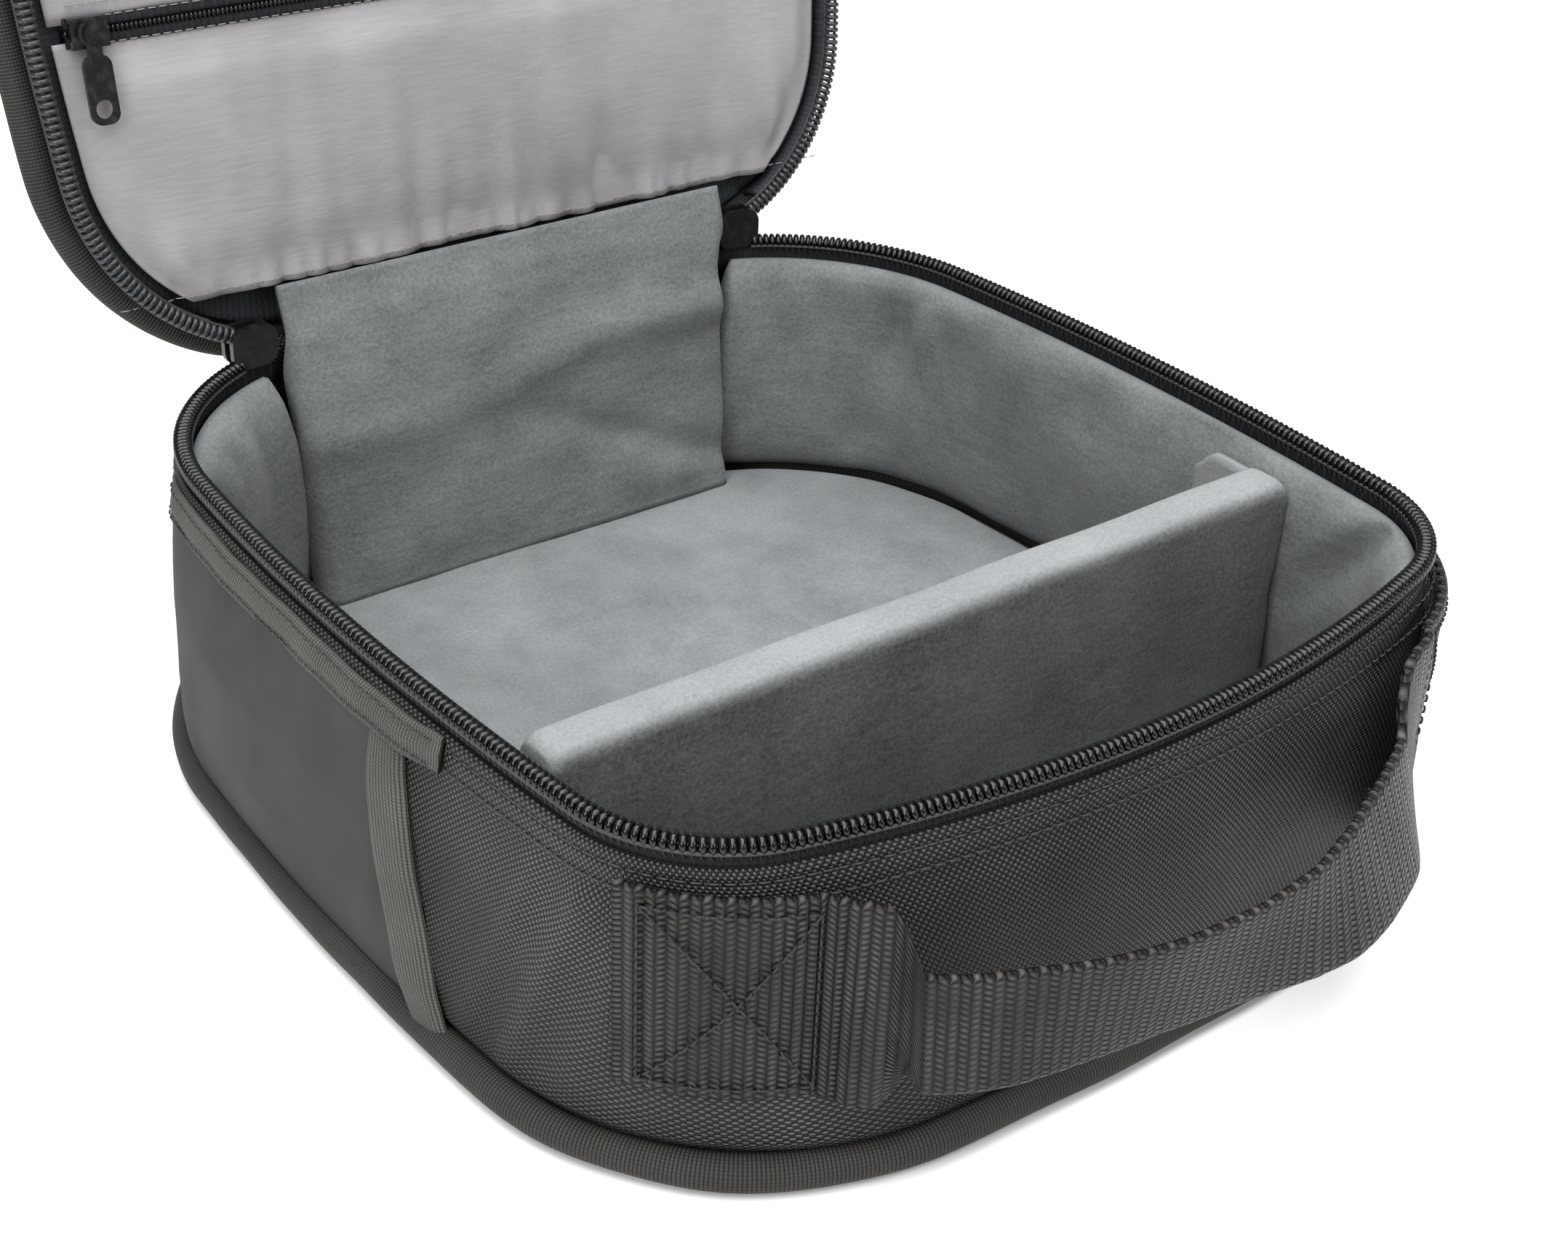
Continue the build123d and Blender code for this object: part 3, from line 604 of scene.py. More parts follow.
# the lid's half of the zip is the same black coil; its paler grey colour is a painted highlight
LID_COIL_PAINTED_HIGHLIGHT = enamel("lid_zip_coil", (0.02, 0.021, 0.023), 0.25, 0.4)
ENAMEL = enamel("slider_enamel", (0.006, 0.006, 0.007), 0.14)
THREAD = thread("dark_thread", (0.012, 0.011, 0.010), (0.07, 0.066, 0.06))
TAPE_THREAD = thread("tape_thread", (0.01, 0.01, 0.012), (0.035, 0.036, 0.04))
SATIN_THREAD = thread("satin_thread", (0.12, 0.11, 0.10), (0.26, 0.24, 0.22))
BOARD = board()
FOAM = foam()

# ---- outer wall
WALL_ROWS = np.concatenate([[6.4, 7.2, 8.3, 9.6, 11.2, 13.2, 15.6], np.arange(18, 63, 2.6),
                            [64.6, 66.6, 68.6, 69.6, 70.6, 71.6, 72.4, 72.9, 73.3, 73.8, 74.4, 75.2, 75.8, 76.1]])


def wall_bulge(z):
    return np.interp(z, [6.4, 8.3, 11, 18, 40, 58, 67.6, 69.6, 72.4, 73.3, 74.0, 75.4, 76.1, 78],
                     [-2.6, -0.6, 0.9, 1.5, 1.5, 0.9, 0.1, 0.7, 0.7, 0.2, 0.7, 0.5, -0.5, -1])


def wall_height(z):
    """Between the ends of the zip tape the wall stops lower, clear of the turning lid."""
    points = ring(wall_shape(z))
    middle = (points[:, 1] > 60) * (1 - smooth(TAPE_END - 5, TAPE_END + 3, np.abs(points[:, 0])))
    z = z - EDGE_DROP * smooth(62, 70, z)
    return z - middle * np.clip(z - 50, 0, None) * (7.6 / 26.1)


def wall_folds(points):
    """Soft hand of the fabric, and a few upright buckles behind the pocket's elastic."""
    x, y, z = points[..., 0], points[..., 1], points[..., 2]
    calm = smooth(8, 20, z) * (1 - smooth(60, 68, z))
    buckle = bump_at(y + 0.25 * z, -72, 22) * (x < 0)
    fold = np.sin((y + 0.35 * z + 0.15 * x) * 2 * pi / 15)
    corner = smooth(70, 104, x) * smooth(82, 104, -y) * smooth(30, 60, z)
    return -2.2 * corner + calm * (0.65 * waves(points, 70, 3) + 0.2 * waves(points, 26, 4) + 0.8 * buckle * fold)


def outer_wall():
    rows = []
    for z in WALL_ROWS:
        row = wall_row(wall_height(z), float(wall_bulge(z)))
        rows.append(row + facing_of(wall_shape(z)) * wall_folds(row)[:, None])
    for z in (74.5, 62, 40, 20, 8.3):
        rows.append(wall_row(wall_height(z), -0.9 if z < 72 else -1.4))
    return grid("outer_wall", rows, WEAVE, closed_u=True, closed_v=True)


place(outer_wall(), "root", "ballistic_fabric", "base_wall")


def chain(points, limit):
    """Which points of a ring are outside the gap at the hinge."""
    return ~((np.abs(points[:, 0]) < limit) & (points[:, 1] > 60))


top_rows = []
for index, z in enumerate((73.3, 68.6)):
    line = wall_row(z - EDGE_DROP, float(wall_bulge(z)) + 0.15)
    keep = chain(line, TAPE_END + 2)
    top_rows.append(stitches(f"row_{index}", line[keep], facing_of(wall_shape(68))[keep], THREAD, 3.1, 0.26))
place(join(top_rows, "wall_top_stitching"), "root", "ballistic_fabric")

# ---- bottom
piping_path = level(ring(FOOT), PIPING_RADIUS)
lift = 1.4 * bump_at(piping_path[:, 0], 62, 14) * (piping_path[:, 1] < 0)
piping_path[:, 2] += lift + 0.25 * (1 + waves(piping_path, 60, 8, count=5) * 0.5)
piping_path[:, :2] += normals_of(FOOT) * (0.35 * waves(piping_path, 45, 9, count=5))[:, None]
piping = tube("base_piping_cord", piping_path, 3.9 + 0.12 * waves(piping_path, 30, 10), PIPING, 20, closed=True)
place(piping, "root", "piping_fabric", "base_piping")


def pillow(name, shape, off, low, high, material, crown=0.0, edge=2.0, carry=np.asarray, folds=None):
    """Flat pad with an outline's shape, rounded edges and a slight crown."""
    outline = ring(shape, off)
    shares = np.array([0.04, 0.12, 0.22, 0.34, 0.46, 0.58, 0.69, 0.79, 0.87, 0.93, 0.97])
    half = (high - low) / 2
    rows, plan = [], []

    def add(scale, inset, z):
        flat = ring(shape, off - inset) if inset else outline * scale
        row = level(flat, z)
        if folds is not None and z > (low + high) / 2:
            row[:, 2] += folds(row)
        rows.append(row)
        plan.append(flat)

    for share in shares:
        add(share, 0, low)
    for angle in np.linspace(-pi / 2, pi / 2, 9):
        add(1, edge * (1 - cos(angle)) + 1e-6, (low + high) / 2 + half * sin(angle))
    for share in shares[::-1]:
        add(share, 0, high + crown * (1 - share**2.5))
    return grid(name, carry(rows), material, closed_u=True, caps=True, plan_uv=plan)


place(pillow("bottom_panel", FOOT, -4.4, 0.15, 1.2, WEAVE, edge=0.5), "root", "ballistic_fabric", "base_bottom_panel")


def floor_folds(row):
    return 0.22 * waves(row, 55, 21) + 0.08 * waves(row, 20, 22)


floor_pad = pillow("floor_pad", WALL_FOOT, -11.4, 4.0, FLOOR_TOP, FLOOR_LINING_PAINTED_LIT, crown=0.25, edge=3.0,
                   folds=floor_folds)
place(floor_pad, "root", "brushed_lining", "base_floor_pad")

# ---- padded wall lining
# Section of the padding: height, distance in from the outer wall
LINER_SECTION = ((9.6, -3.4), (24, -3.4), (40, -3.4), (56, -3.3), (68, -3.2), (74.0, -3.2), (75.7, -4.2),
                 (75.7, -5.9), (74.3, -7.8), (71.8, -9.5), (68, -11.0), (61, -12.2), (54, -12.9), (46, -13.2),
                 (38, -13.0), (30, -12.5), (23, -11.9), (17, -11.2), (13, -10.4), (10.2, -9.0), (9.2, -6.4))


def liner_folds(points):
    """Puffs and pulled creases, strongest in the back corners and beside the hinge panel."""
    x, y, z = points[..., 0], points[..., 1], points[..., 2]
    corner = bump_at(y, 78, 34) + 0.5 * bump_at(y, -95, 20)
    crease = 1 - np.abs(waves(points, 26, 31, stretch=(1, 1, 1.6)))
    fine = 1 - np.abs(waves(points, 13, 32, stretch=(1, 1, 2.2)))
    middle = smooth(12, 28, z) * (1 - smooth(62, 73, z))
    right = (bump_at(y, 84, 9) * bump_at(z, 52, 12) + 0.8 * bump_at(y + 0.6 * z, 92, 7) * bump_at(z, 58, 12)
             + 0.7 * bump_at(y, 12, 14) * bump_at(z, 60, 8) + 1.1 * bump_at(y + 0.8 * z, -34, 5) * bump_at(z, 58, 14))
    left = (bump_at(y + 0.5 * z, 112, 5) + 0.8 * bump_at(y + 0.5 * z, 98, 4)) * bump_at(z, 52, 14)
    dents = (x > 40) * right + (x < -40) * left
    return (0.9 * waves(points, 48, 33) - 5.5 * dents
            - corner * middle * (2.6 * np.clip(crease, -1, 1) + 1.2 * np.clip(fine, -1, 1))
            + 0.25 * waves(points, 18, 34))


def wall_lining():
    keep = chain(ring(wall_shape(40)), HINGE_HALF + 0.6)
    rows = []
    for z, off in LINER_SECTION:
        row = wall_row(wall_height(z) if z > 60 else float(z), off)
        if off < -7.5:
            row = row - facing_of(wall_shape(z)) * liner_folds(row)[:, None] * 0.9
        rows.append(row[keep])
    rows = np.asarray(rows)
    middle = rows.mean(0)
    pinch = np.ones(len(middle))
    for step, share in enumerate((0.35, 0.75, 0.92)):
        pinch[step] = pinch[-1 - step] = share
    rows = middle[None] + (rows - middle[None]) * pinch[None, :, None]
    return grid("wall_lining", rows, LINING, closed_v=True, caps=True)


place(wall_lining(), "root", "brushed_lining", "base_wall_liner")

# ---- zip of the base
TAPE_SECTION = ((68.6, -1.4), (71.2, -1.3), (74.4, -1.2), (77.6, -1.2), (77.7, -2.3), (74.4, -2.8), (68.6, -2.7))


def zip_tape(name, shape, section, gap, material, carry=np.asarray):
    """Tape round an outline, open at the hinge. section gives each row's height and offset."""
    rows = [level(ring(shape, off), z) for z, off in section]
    keep = chain(rows[0], gap)
    return grid(name, carry([row[keep] for row in rows]), material, closed_v=True, caps=True)


place(zip_tape("base_zip_tape_cloth", WALL_RIM, TAPE_SECTION, TAPE_END - 3, TAPE), "root", "zip_tape", "base_zip_tape")


def coil(name, shape, z, up, in_lid, material, tick_material, weight):
    """Coil of a nylon zip: one bent loop per tooth, its sewing cords and its rows of small stitches."""
    line = level(ring(shape), z)
    keep = chain(line, ZIP_END)
    outward = facing_of(shape)
    carry = to_lid if in_lid else np.asarray
    loop = [(0.35, 1.2, -2.7), (0.25, 1.6, -1.9), (0.1, 1.5, -1.0), (0, 0.8, -0.25), (0, -0.8, -0.25),
            (-0.1, -1.5, -1.0), (-0.25, -1.6, -1.9), (-0.35, -1.2, -2.7)]
    template, faces = bent_tube(loop, np.array((0.5, 0.64, 0.78, 0.84, 0.84, 0.78, 0.64, 0.5)) * weight)
    places, axes = along(line[keep], outward[keep], COIL_PITCH)
    axes[:, 2] = (0, 0, up)
    if in_lid:
        places, axes = carry_axes(places, axes)
    pieces = [repeated(name, template, faces, places, axes, material)]
    for side in (1, -1):
        cord_line = carry((line + outward * side * 1.85 + (0, 0, -2.2 * up))[keep])
        pieces.append(tube(f"{name}_cord_{side}", cord_line, 0.42, THREAD, 6))
        row = carry((line + outward * side * (1.0 if in_lid else 1.35) + (0, 0, -3.1 * up))[keep])
        facing = carry(outward[keep] * side) - carry(row * 0)
        pieces.append(stitches(f"{name}_ticks_{side}", row, facing, tick_material, COIL_PITCH, 0.26, 0.55, 1.0))
    return join(pieces, name)


place(coil("base_zip_teeth", RIM, RIM_HEIGHT - 0.9, 1, False, COIL, THREAD, 1.0), "root", "zip_coil", "base_zip_coil")

# ---- divider
def soft_block(name, low, high, radius, material, crown=0.6, folds=0.3):
    """Padded board lying along X, with rounded edges and slightly pulled-in ends."""
    (x0, y0, z0), (x1, y1, z1) = low, high
    corners = ((y1 - radius, z1 - radius), (y0 + radius, z1 - radius), (y0 + radius, z0 + radius),
               (y1 - radius, z0 + radius))
    section = [(y + radius * cos(angle), z + radius * sin(angle)) for quarter, (y, z) in enumerate(corners)
               for angle in np.radians(np.linspace(90 * quarter, 90 * quarter + 90, 7))]
    section.append(section[0])
    section = resample(np.array(section), 2.2)[:-1]
    middle = np.array(((y0 + y1) / 2, (z0 + z1) / 2))
    stations = np.concatenate([[0, 0.6, 1.6, 3.2], np.linspace(5.5, x1 - x0 - 5.5, 90),
                               x1 - x0 - np.array([3.2, 1.6, 0.6, 0])])
    rows = []
    for y, z in section:
        inset = np.clip(1 - np.minimum(stations, x1 - x0 - stations) / 4, 0, 1) ** 2 * 2.2
        point = np.array((y, z)) - middle
        shrink = 1 - inset / max(np.linalg.norm(point), 6)
        swell = crown * np.sign(point[0]) * (abs(point[0]) > (y1 - y0) / 2 - 0.1) * np.sin(
            np.clip((z - z0) / (z1 - z0), 0, 1) * pi)
        rows.append(lay(x0 + stations, middle[0] + point[0] * shrink + swell, middle[1] + point[1] * shrink))
    rows = np.asarray(rows)
    bend = folds * waves(rows, 60, 40)
    rows[..., 1] += bend * smooth(0, 20, stations) * smooth(0, 20, x1 - x0 - stations)
    rows[..., 2] += 0.4 * bend * (rows[..., 2] > middle[1])
    return grid(name, rows, material, closed_v=True, caps=True)


DIVIDER_LOW, DIVIDER_HIGH = [np.array(corner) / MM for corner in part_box("divider_cover")]
divider = soft_block("divider_pad", DIVIDER_LOW, DIVIDER_HIGH, 3.4, DIVIDER)
place(divider, "divider", "divider_fabric", "divider_cover")
for name in ("left", "right"):
    low, high = [np.array(corner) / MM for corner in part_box(f"divider_hook_{name}")]
    y_list = np.linspace(low[1] - 3, high[1], 12)
    rounding = 5 * smooth(0.55, 1, (y_list - low[1]) / (high[1] - low[1])) ** 2
    z_top = high[2] - (9 if name == "left" else 0) - rounding + 1.5
    z_low = low[2] + rounding
    rows = []
    for share in np.linspace(0, 1, 26):
        z = z_low + (z_top - z_low) * share
        rows.append(lay((low[0] + high[0]) / 2 + 0.25 * np.sin(z / 7 + y_list / 5), y_list, z))
    tab = grid(f"divider_hook_tab_{name}", rows, HOOK, thickness=2.0)
    place(tab, "divider", "hook_tape", f"divider_hook_{name}")

# ---- fabric hinge
HINGE_FACE = ((107.6, 9.8), (110.2, 24), (112.0, 40), (113.6, 54), (115.6, 66), (118.4, 77), (121.6, 87), (124.6, 95.6))


def panel_folds(points):
    x, z = points[..., 0], points[..., 2]
    ends = smooth(10, 22, z) * (1 - smooth(84, 95, z))
    sides = 1 - smooth(50, 66, np.abs(x)) * 0.7
    crease = 2.8 * bump_at(z - 0.10 * x - 3 * np.sin(x / 18), 60, 5.5) * (0.4 + 0.6 * smooth(-30, 40, x))
    slant = (2.2 * bump_at(z + 0.45 * x, 48, 6) * smooth(-20, 30, x)
             + 1.6 * bump_at(z - 0.5 * x, 24, 6) * smooth(0, 40, -x))
    return ends * (sides * (0.8 * waves(points, 50, 51) + 1.4) + crease - slant + 0.2 * waves(points, 17, 52))


def hinge_panel():
    line = resample(spline(HINGE_FACE), 1.7)
    across = np.linspace(-HINGE_HALF + 0.6, HINGE_HALF - 0.2, 84)
    slope = unit(np.gradient(line, axis=0))
    edge = np.clip((np.abs(across) - (HINGE_HALF - 4)) / 4, 0, 1) ** 1.6 * 8
    rows = []
    for (y, z), (slope_y, slope_z) in zip(line, slope):
        wide = 1 + 0.05 * smooth(60, 95, z) * (across > 0)
        row = lay(across * wide, y + edge * (1 - smooth(70, 88, z)), z)
        push = panel_folds(row[None])[0]
        row[:, 1] -= push * slope_z
        row[:, 2] += push * slope_y
        rows.append(row)
    return grid("hinge_panel", np.asarray(rows)[:, ::-1], LINING, thickness=2.2)


panel = hinge_panel()
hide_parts("hinge_inner_panel", "lid_inner_hinge_panel")
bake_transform(panel)

OUTER_HINGE = ((131.0, 57.5), (130.2, 63), (129.0, 68), (126.9, 72.6), (124.9, 77.2), (124.6, 80.4), (126.6, 81.6))


def outer_hinge():
    line = resample(spline(OUTER_HINGE), 1.2)
    across = np.linspace(-HINGE_HALF - 4, HINGE_HALF + 4, 90)
    sag = 1.4 * (across / HINGE_HALF) ** 2
    rows = np.asarray([lay(across, y - sag * (z > 60), z) for y, z in line])
    rows[..., 1] += 0.3 * waves(rows, 24, 61) * smooth(58, 62, rows[..., 2])
    return grid("hinge_outer_cloth", rows, WEAVE, thickness=0.9)


outer_panel = outer_hinge()
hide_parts("hinge_outer_panel", "lid_hinge_band")
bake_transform(outer_panel)

# ---- lid, in closed-lid coordinates
cord_path = level(ring(LID_RIM, 2.6), RIM_HEIGHT + 13)
cord_path[:, :2] += normals_of(LID_RIM) * (0.3 * waves(cord_path, 40, 71, count=5))[:, None]
lid_cord = tube("lid_piping_cord", to_lid(cord_path), 4.15 + 0.1 * waves(cord_path, 26, 72), PIPING, 20, closed=True,
                up=(0, 1, 0.16))
place(lid_cord, "lid", "piping_fabric", "lid_piping")

LID_TAPE_SECTION = [(RIM_HEIGHT + above, off) for above, off in (
    (3.2, -1.7), (5.4, -1.5), (8.2, -1.2), (9.9, -0.4), (10.6, 0.2), (10.2, -1.6), (8.2, -2.3), (5.4, -2.6),
    (3.2, -2.5))]
lid_tape = zip_tape("lid_zip_tape_cloth", LID_RIM, LID_TAPE_SECTION, TAPE_END + 12.5, LID_TAPE, to_lid)
place(lid_tape, "lid", "zip_tape", "lid_zip_tape")
place(coil("lid_zip_teeth", LID_RIM, RIM_HEIGHT + 0.9, -1, True, LID_COIL_PAINTED_HIGHLIGHT, TAPE_THREAD, 0.86), "lid", "zip_coil",
      "lid_zip_coil")
place(pillow("lid_top_cover", LID_RIM, 1.0, RIM_HEIGHT + 18.1, RIM_HEIGHT + 19.5, WEAVE, crown=1.2, edge=0.6,
             carry=to_lid), "lid", "ballistic_fabric", "lid_top_panel")
place(pillow("lid_foam_sheet", LID_RIM, -2.6, RIM_HEIGHT + 11.7, RIM_HEIGHT + 15.7, FOAM, edge=1.2,
                       carry=to_lid), "lid", "foam", "lid_foam")


def lining_half(y):
    """Half the lid lining's width at each y."""
    points = ring(LID_RIM, -LINING_IN)
    right = points[points[:, 0] > 0]
    right = right[np.argsort(right[:, 1])]
    return np.interp(y, right[:, 1], right[:, 0])


def lining_sheet(name, y_from, y_to, columns, height, folds, round_front=False):
    """Flat panel of the lid's lining between two closed-lid y's, cut to the lid's outline."""
    if round_front:
        y_list = y_from + (y_to - y_from) * np.sin(np.linspace(0, pi / 2, 96))
    else:
        y_list = np.linspace(y_from, y_to, 46)
    rows = []
    for y in y_list:
        rows.append(lay(np.linspace(-1, 1, columns) * lining_half(y), y, RIM_HEIGHT + height))
    rows = np.asarray(rows)
    rows[..., 2] -= np.maximum(folds(rows), -1.2)
    return grid(name, to_lid(rows)[:, ::-1], SATIN, thickness=0.5)


def lower_folds(points):
    """Gathers rising from the bottom seam, fading towards the zip."""
    x, y = points[..., 0], points[..., 1]
    edge = smooth(0, 9, lining_half(y[:, 0])[:, None] - np.abs(x))
    pulls = waves(points * (1, 0.12, 0), 21, 81) + 0.6 * waves(points * (1, 0.2, 0), 9, 82)
    gather = pulls * (0.15 + 0.85 * smooth(60, 112, y) ** 1.5)
    slack = 1.6 * smooth(43, 60, y) * (1 - smooth(95, 112, y))
    loose = edge * (1.5 * gather + slack + 0.9 * waves(points * (1, 0.35, 0), 34, 83)) * smooth(46, 60, y)
    return loose + smooth(104, LINING_SEAM_Y, y) * (1.3 * np.abs(np.sin(x / 2.6 + 1.2 * np.sin(x / 9))) - 0.2)


def upper_folds(points):
    x, y = points[..., 0], points[..., 1]
    edge = smooth(0, 12, lining_half(y[:, 0])[:, None] - np.abs(x))
    slack = 1.6 * np.cos(np.clip((y + 40) / 85, -1, 1) * pi / 2)
    pulls = waves(points * (1, 0.25, 0), 30, 85)
    return edge * (slack + 0.8 * pulls + 0.7 * waves(points, 60, 86)) * (1 - smooth(28, 42, y))


lower = lining_sheet("lid_lining_lower_cloth", POCKET_ZIP_Y + 2.1, LINING_SEAM_Y, 300, LINING_IN, lower_folds)
place(lower, "lid", "satin_lining", "lid_lining_lower")
upper = lining_sheet("lid_lining_upper_cloth", POCKET_ZIP_Y - 2.1, LINING_FRONT_Y, 160, LINING_IN, upper_folds, True)
place(upper, "lid", "satin_lining", "lid_lining_upper")
back_sheet = lining_sheet("lid_pocket_back_cloth", LINING_SEAM_Y, LINING_FRONT_Y, 100, 10.8,
                          lambda points: 0.3 * waves(points, 60, 87), True)
place(back_sheet, "lid", "satin_lining", "lid_pocket_back")

# slate tape that shows between the lining and the coil, wider behind the hinge
facing_rows = []
for share in np.linspace(0, 1, 9):
    outline = ring(LID_RIM, -2.9 - 5.5 * share)
    inward = share * 9.5 * (outline[:, 1] > 60) * (1 - smooth(84, 104, np.abs(outline[:, 0])))
    outline[:, 1] -= inward
    deep = 3.0 * (outline[:, 1] > 60) * (1 - smooth(84, 96, np.abs(outline[:, 0]))) * (1 - smooth(0.75, 1, share))
    facing_rows.append(level(outline, RIM_HEIGHT + 7.4 + deep))
facing = grid("lid_back_facing", to_lid(np.asarray(facing_rows)), LID_TAPE, closed_u=True, thickness=0.6)
place(facing, "lid", "zip_tape")

# pocket zip across the lining
POCKET_TAPE_SECTION = ((0.7, 4.5), (1.5, 4.25), (2.6, 4.3), (3.4, 4.6), (3.3, 5.1), (2.4, 4.9), (1.4, 4.85),
                       (0.7, 4.95))
zip_x = np.linspace(-POCKET_ZIP_HALF, POCKET_ZIP_HALF, 150)
for side, name in ((1, "near"), (-1, "far")):
    rows = [lay(zip_x, POCKET_ZIP_Y + side * y, RIM_HEIGHT + h) for y, h in POCKET_TAPE_SECTION]
    if side < 0:
        rows = rows[::-1]
    half = grid(f"pocket_zip_tape_{name}", to_lid(rows), TAPE, closed_v=True, caps=True)
    place(half, "lid", "zip_tape", *(("pocket_zip_tape",) if side > 0 else ()))
zip_line = lay(np.linspace(-POCKET_ZIP_HALF, POCKET_ZIP_HALF, 200), POCKET_ZIP_Y, RIM_HEIGHT + 4.3)
loop = [(0.3, 0, -0.2), (0.1, -0.75, 0.0), (0, -0.3, 0.62), (0, 0.3, 0.62), (-0.1, 0.75, 0.0), (-0.3, 0, -0.2)]
template, faces = bent_tube(loop, (0.3, 0.34, 0.38, 0.38, 0.34, 0.3), 6)
places, axes = along(zip_line, np.tile((0.0, 1.0, 0.0), (200, 1)), 1.15)
axes[:, 2] = (0, 0, -1)
place(repeated("pocket_zip_teeth", template, faces, *carry_axes(places, axes), COIL), "lid", "zip_coil",
      "pocket_zip_coil")

# sewn lines on the lid's lining
for name, y, pitch in (("seam", LINING_SEAM_Y - 1.6, 3.0), ("zip_low", POCKET_ZIP_Y + 3.1, 2.8),
                       ("zip_high", POCKET_ZIP_Y - 3.1, 2.8), ("zip_high_2", POCKET_ZIP_Y - 6.2, 2.8)):
    line = lay(np.linspace(-107, 107, 200), y, RIM_HEIGHT + 4.35)
    ride_height = lower_folds(line[None]) if y > POCKET_ZIP_Y else upper_folds(line[None])
    line[:, 2] -= (ride_height[0] if abs(y - POCKET_ZIP_Y) > 4 else 0)
    row = stitches(f"lining_stitch_{name}", to_lid(line), to_lid(line + (0, 0, -1)) - to_lid(line), SATIN_THREAD,
                   pitch, 0.17)
    place(row, "lid", "satin_lining")

# ---- side pocket
def left_wall(y, z, off):
    """Points on the left wall at the given y and z, pushed outwards."""
    y, z, off = lay(y, z, off).T
    low, high = [ring(wall_shape(level_z)) for level_z in (0.0, 80.0)]
    low_n, high_n = [normals_of(wall_shape(level_z)) for level_z in (0.0, 80.0)]

    def at(points, normals):
        half = (points[:, 0] < 0) & (np.abs(points[:, 1]) < 122)
        order = np.argsort(points[half, 1])
        table, facing = points[half][order], normals[half][order]
        return [np.interp(y, table[:, 1], column) for column in (table[:, 0], facing[:, 0], facing[:, 1])]

    share = z / 80.0
    x, n_x, n_y = [a + (b - a) * share for a, b in zip(at(low, low_n), at(high, high_n))]
    return np.stack([x + n_x * off, y + n_y * off, z], -1)


POCKET_BACK = 84.0


POCKET_SHARES = np.concatenate([[0, 0.004, 0.012], np.linspace(0.025, 0.975, 120), [0.988, 0.996, 1]])


def pocket_y(z):
    """Places from the pocket's slanted front edge to its back edge."""
    front = np.interp(z, [8, 60], [-44.0, -25.0])
    return front + (POCKET_BACK - front) * POCKET_SHARES


def pocket_panel():
    z_list = np.concatenate([[8.6, 9.0, 9.8, 11], np.linspace(13, 62, 40), [64.5, 65.8, 66.4, 66.6]])
    rows = []
    for z in z_list:
        y, share = pocket_y(z), POCKET_SHARES
        lift = 1.6 + 4.6 * np.sin(share * pi) ** 0.55 * np.interp(
            z, [8.6, 14, 24, 44, 60, 66.6], [0.05, 0.4, 0.8, 0.9, 0.5, 0.3])
        point = left_wall(y, z, 0)
        lift = lift + smooth(0, 0.12, share) * (1 - smooth(0.88, 1, share)) * smooth(9, 18, z) * (
            0.55 * waves(point, 46, 91) + 0.25 * waves(point, 20, 92))
        if z < 9:
            lift = np.minimum(lift, 1.9)
        rows.append(left_wall(y, z, lift))
    for z, off in ((66.0, 1.5), (50, 1.2), (30, 1.2), (12, 1.2), (8.6, 1.2)):
        rows.append(left_wall(pocket_y(z), z, off))
    return grid("side_pocket_cloth", np.asarray(rows)[:, ::-1], TWILL, closed_v=True, caps=True)


place(pocket_panel(), "root", "twill_fabric", "side_pocket_panel")

BINDING_SECTION = ((65.0, 2.9), (65.7, 3.3), (66.9, 3.0), (69.2, 3.3), (71.6, 2.3), (72.6, 2.4), (73.2, 1.6),
                   (73.0, 0.7), (71.0, 0.8), (68.0, 0.9), (65.6, 1.2))


def binding_line(y, z, off, raised=0.0, above=0.0):
    """Line along the ribbon, which waves a little and flattens towards its ends."""
    lift = (1.3 + (off - 1.3) * (0.55 + 0.45 * smooth(-46, -30, y))) * (1 - 0.5 * smooth(76, 85, y))
    return left_wall(y, z + 0.25 * np.sin(y / 9) + raised, lift + above + 0.12 * np.sin(y / 3.1))


y = np.linspace(-47, POCKET_BACK + 1, 150)
rows = np.asarray([binding_line(y, z, off, 1.2 * bump_at(y, -47, 7)) for z, off in BINDING_SECTION])
place(grid("pocket_binding_ribbon", rows[:, ::-1], GROSGRAIN, closed_v=True, caps=True), "root", "grosgrain_tape",
      "pocket_binding")
y = np.linspace(-44, POCKET_BACK - 1, 150)
for index, (z, off) in enumerate(((66.6, 3.1), (71.9, 2.35))):
    line = binding_line(y, z, off, above=0.2)
    outward = left_wall(y, z, 1.0) - left_wall(y, z, 0.0)
    place(stitches(f"binding_stitches_{index}", line, outward, THREAD, 3.0, 0.24), "root", "grosgrain_tape")


def elastic_strip():
    """Slanted elastic strap over the pocket's front end, from the binding down to the piping."""
    rows = []
    heights = (2, 30, 58, 67)
    width = np.concatenate([[0, 0.03], np.linspace(0.08, 0.92, 14), [0.97, 1]])
    for z in np.linspace(3.0, 67.0, 62):
        start = np.interp(z, heights, (-56.0, -45.0, -34.5, -31.5))
        end = np.interp(z, heights, (-45.5, -33.5, -23.5, -21.0))
        y = start + (end - start) * width
        swell = np.interp(z, [3, 8, 16, 40, 60, 67], [1.5, 2.2, 3.2, 3.6, 2.4, 1.3])
        lift = swell + 2.2 * width * np.interp(z, [3, 20, 55, 67], [0.4, 1, 0.9, 0.2]) - 1.4 * (2 * width - 1) ** 6
        rows.append(left_wall(y, z, lift + 0.2 * np.sin(z / 6)))
    return grid("pocket_elastic_strap", np.asarray(rows)[:, ::-1], GROSGRAIN, thickness=1.2)


place(elastic_strip(), "root", "grosgrain_tape", "pocket_elastic")

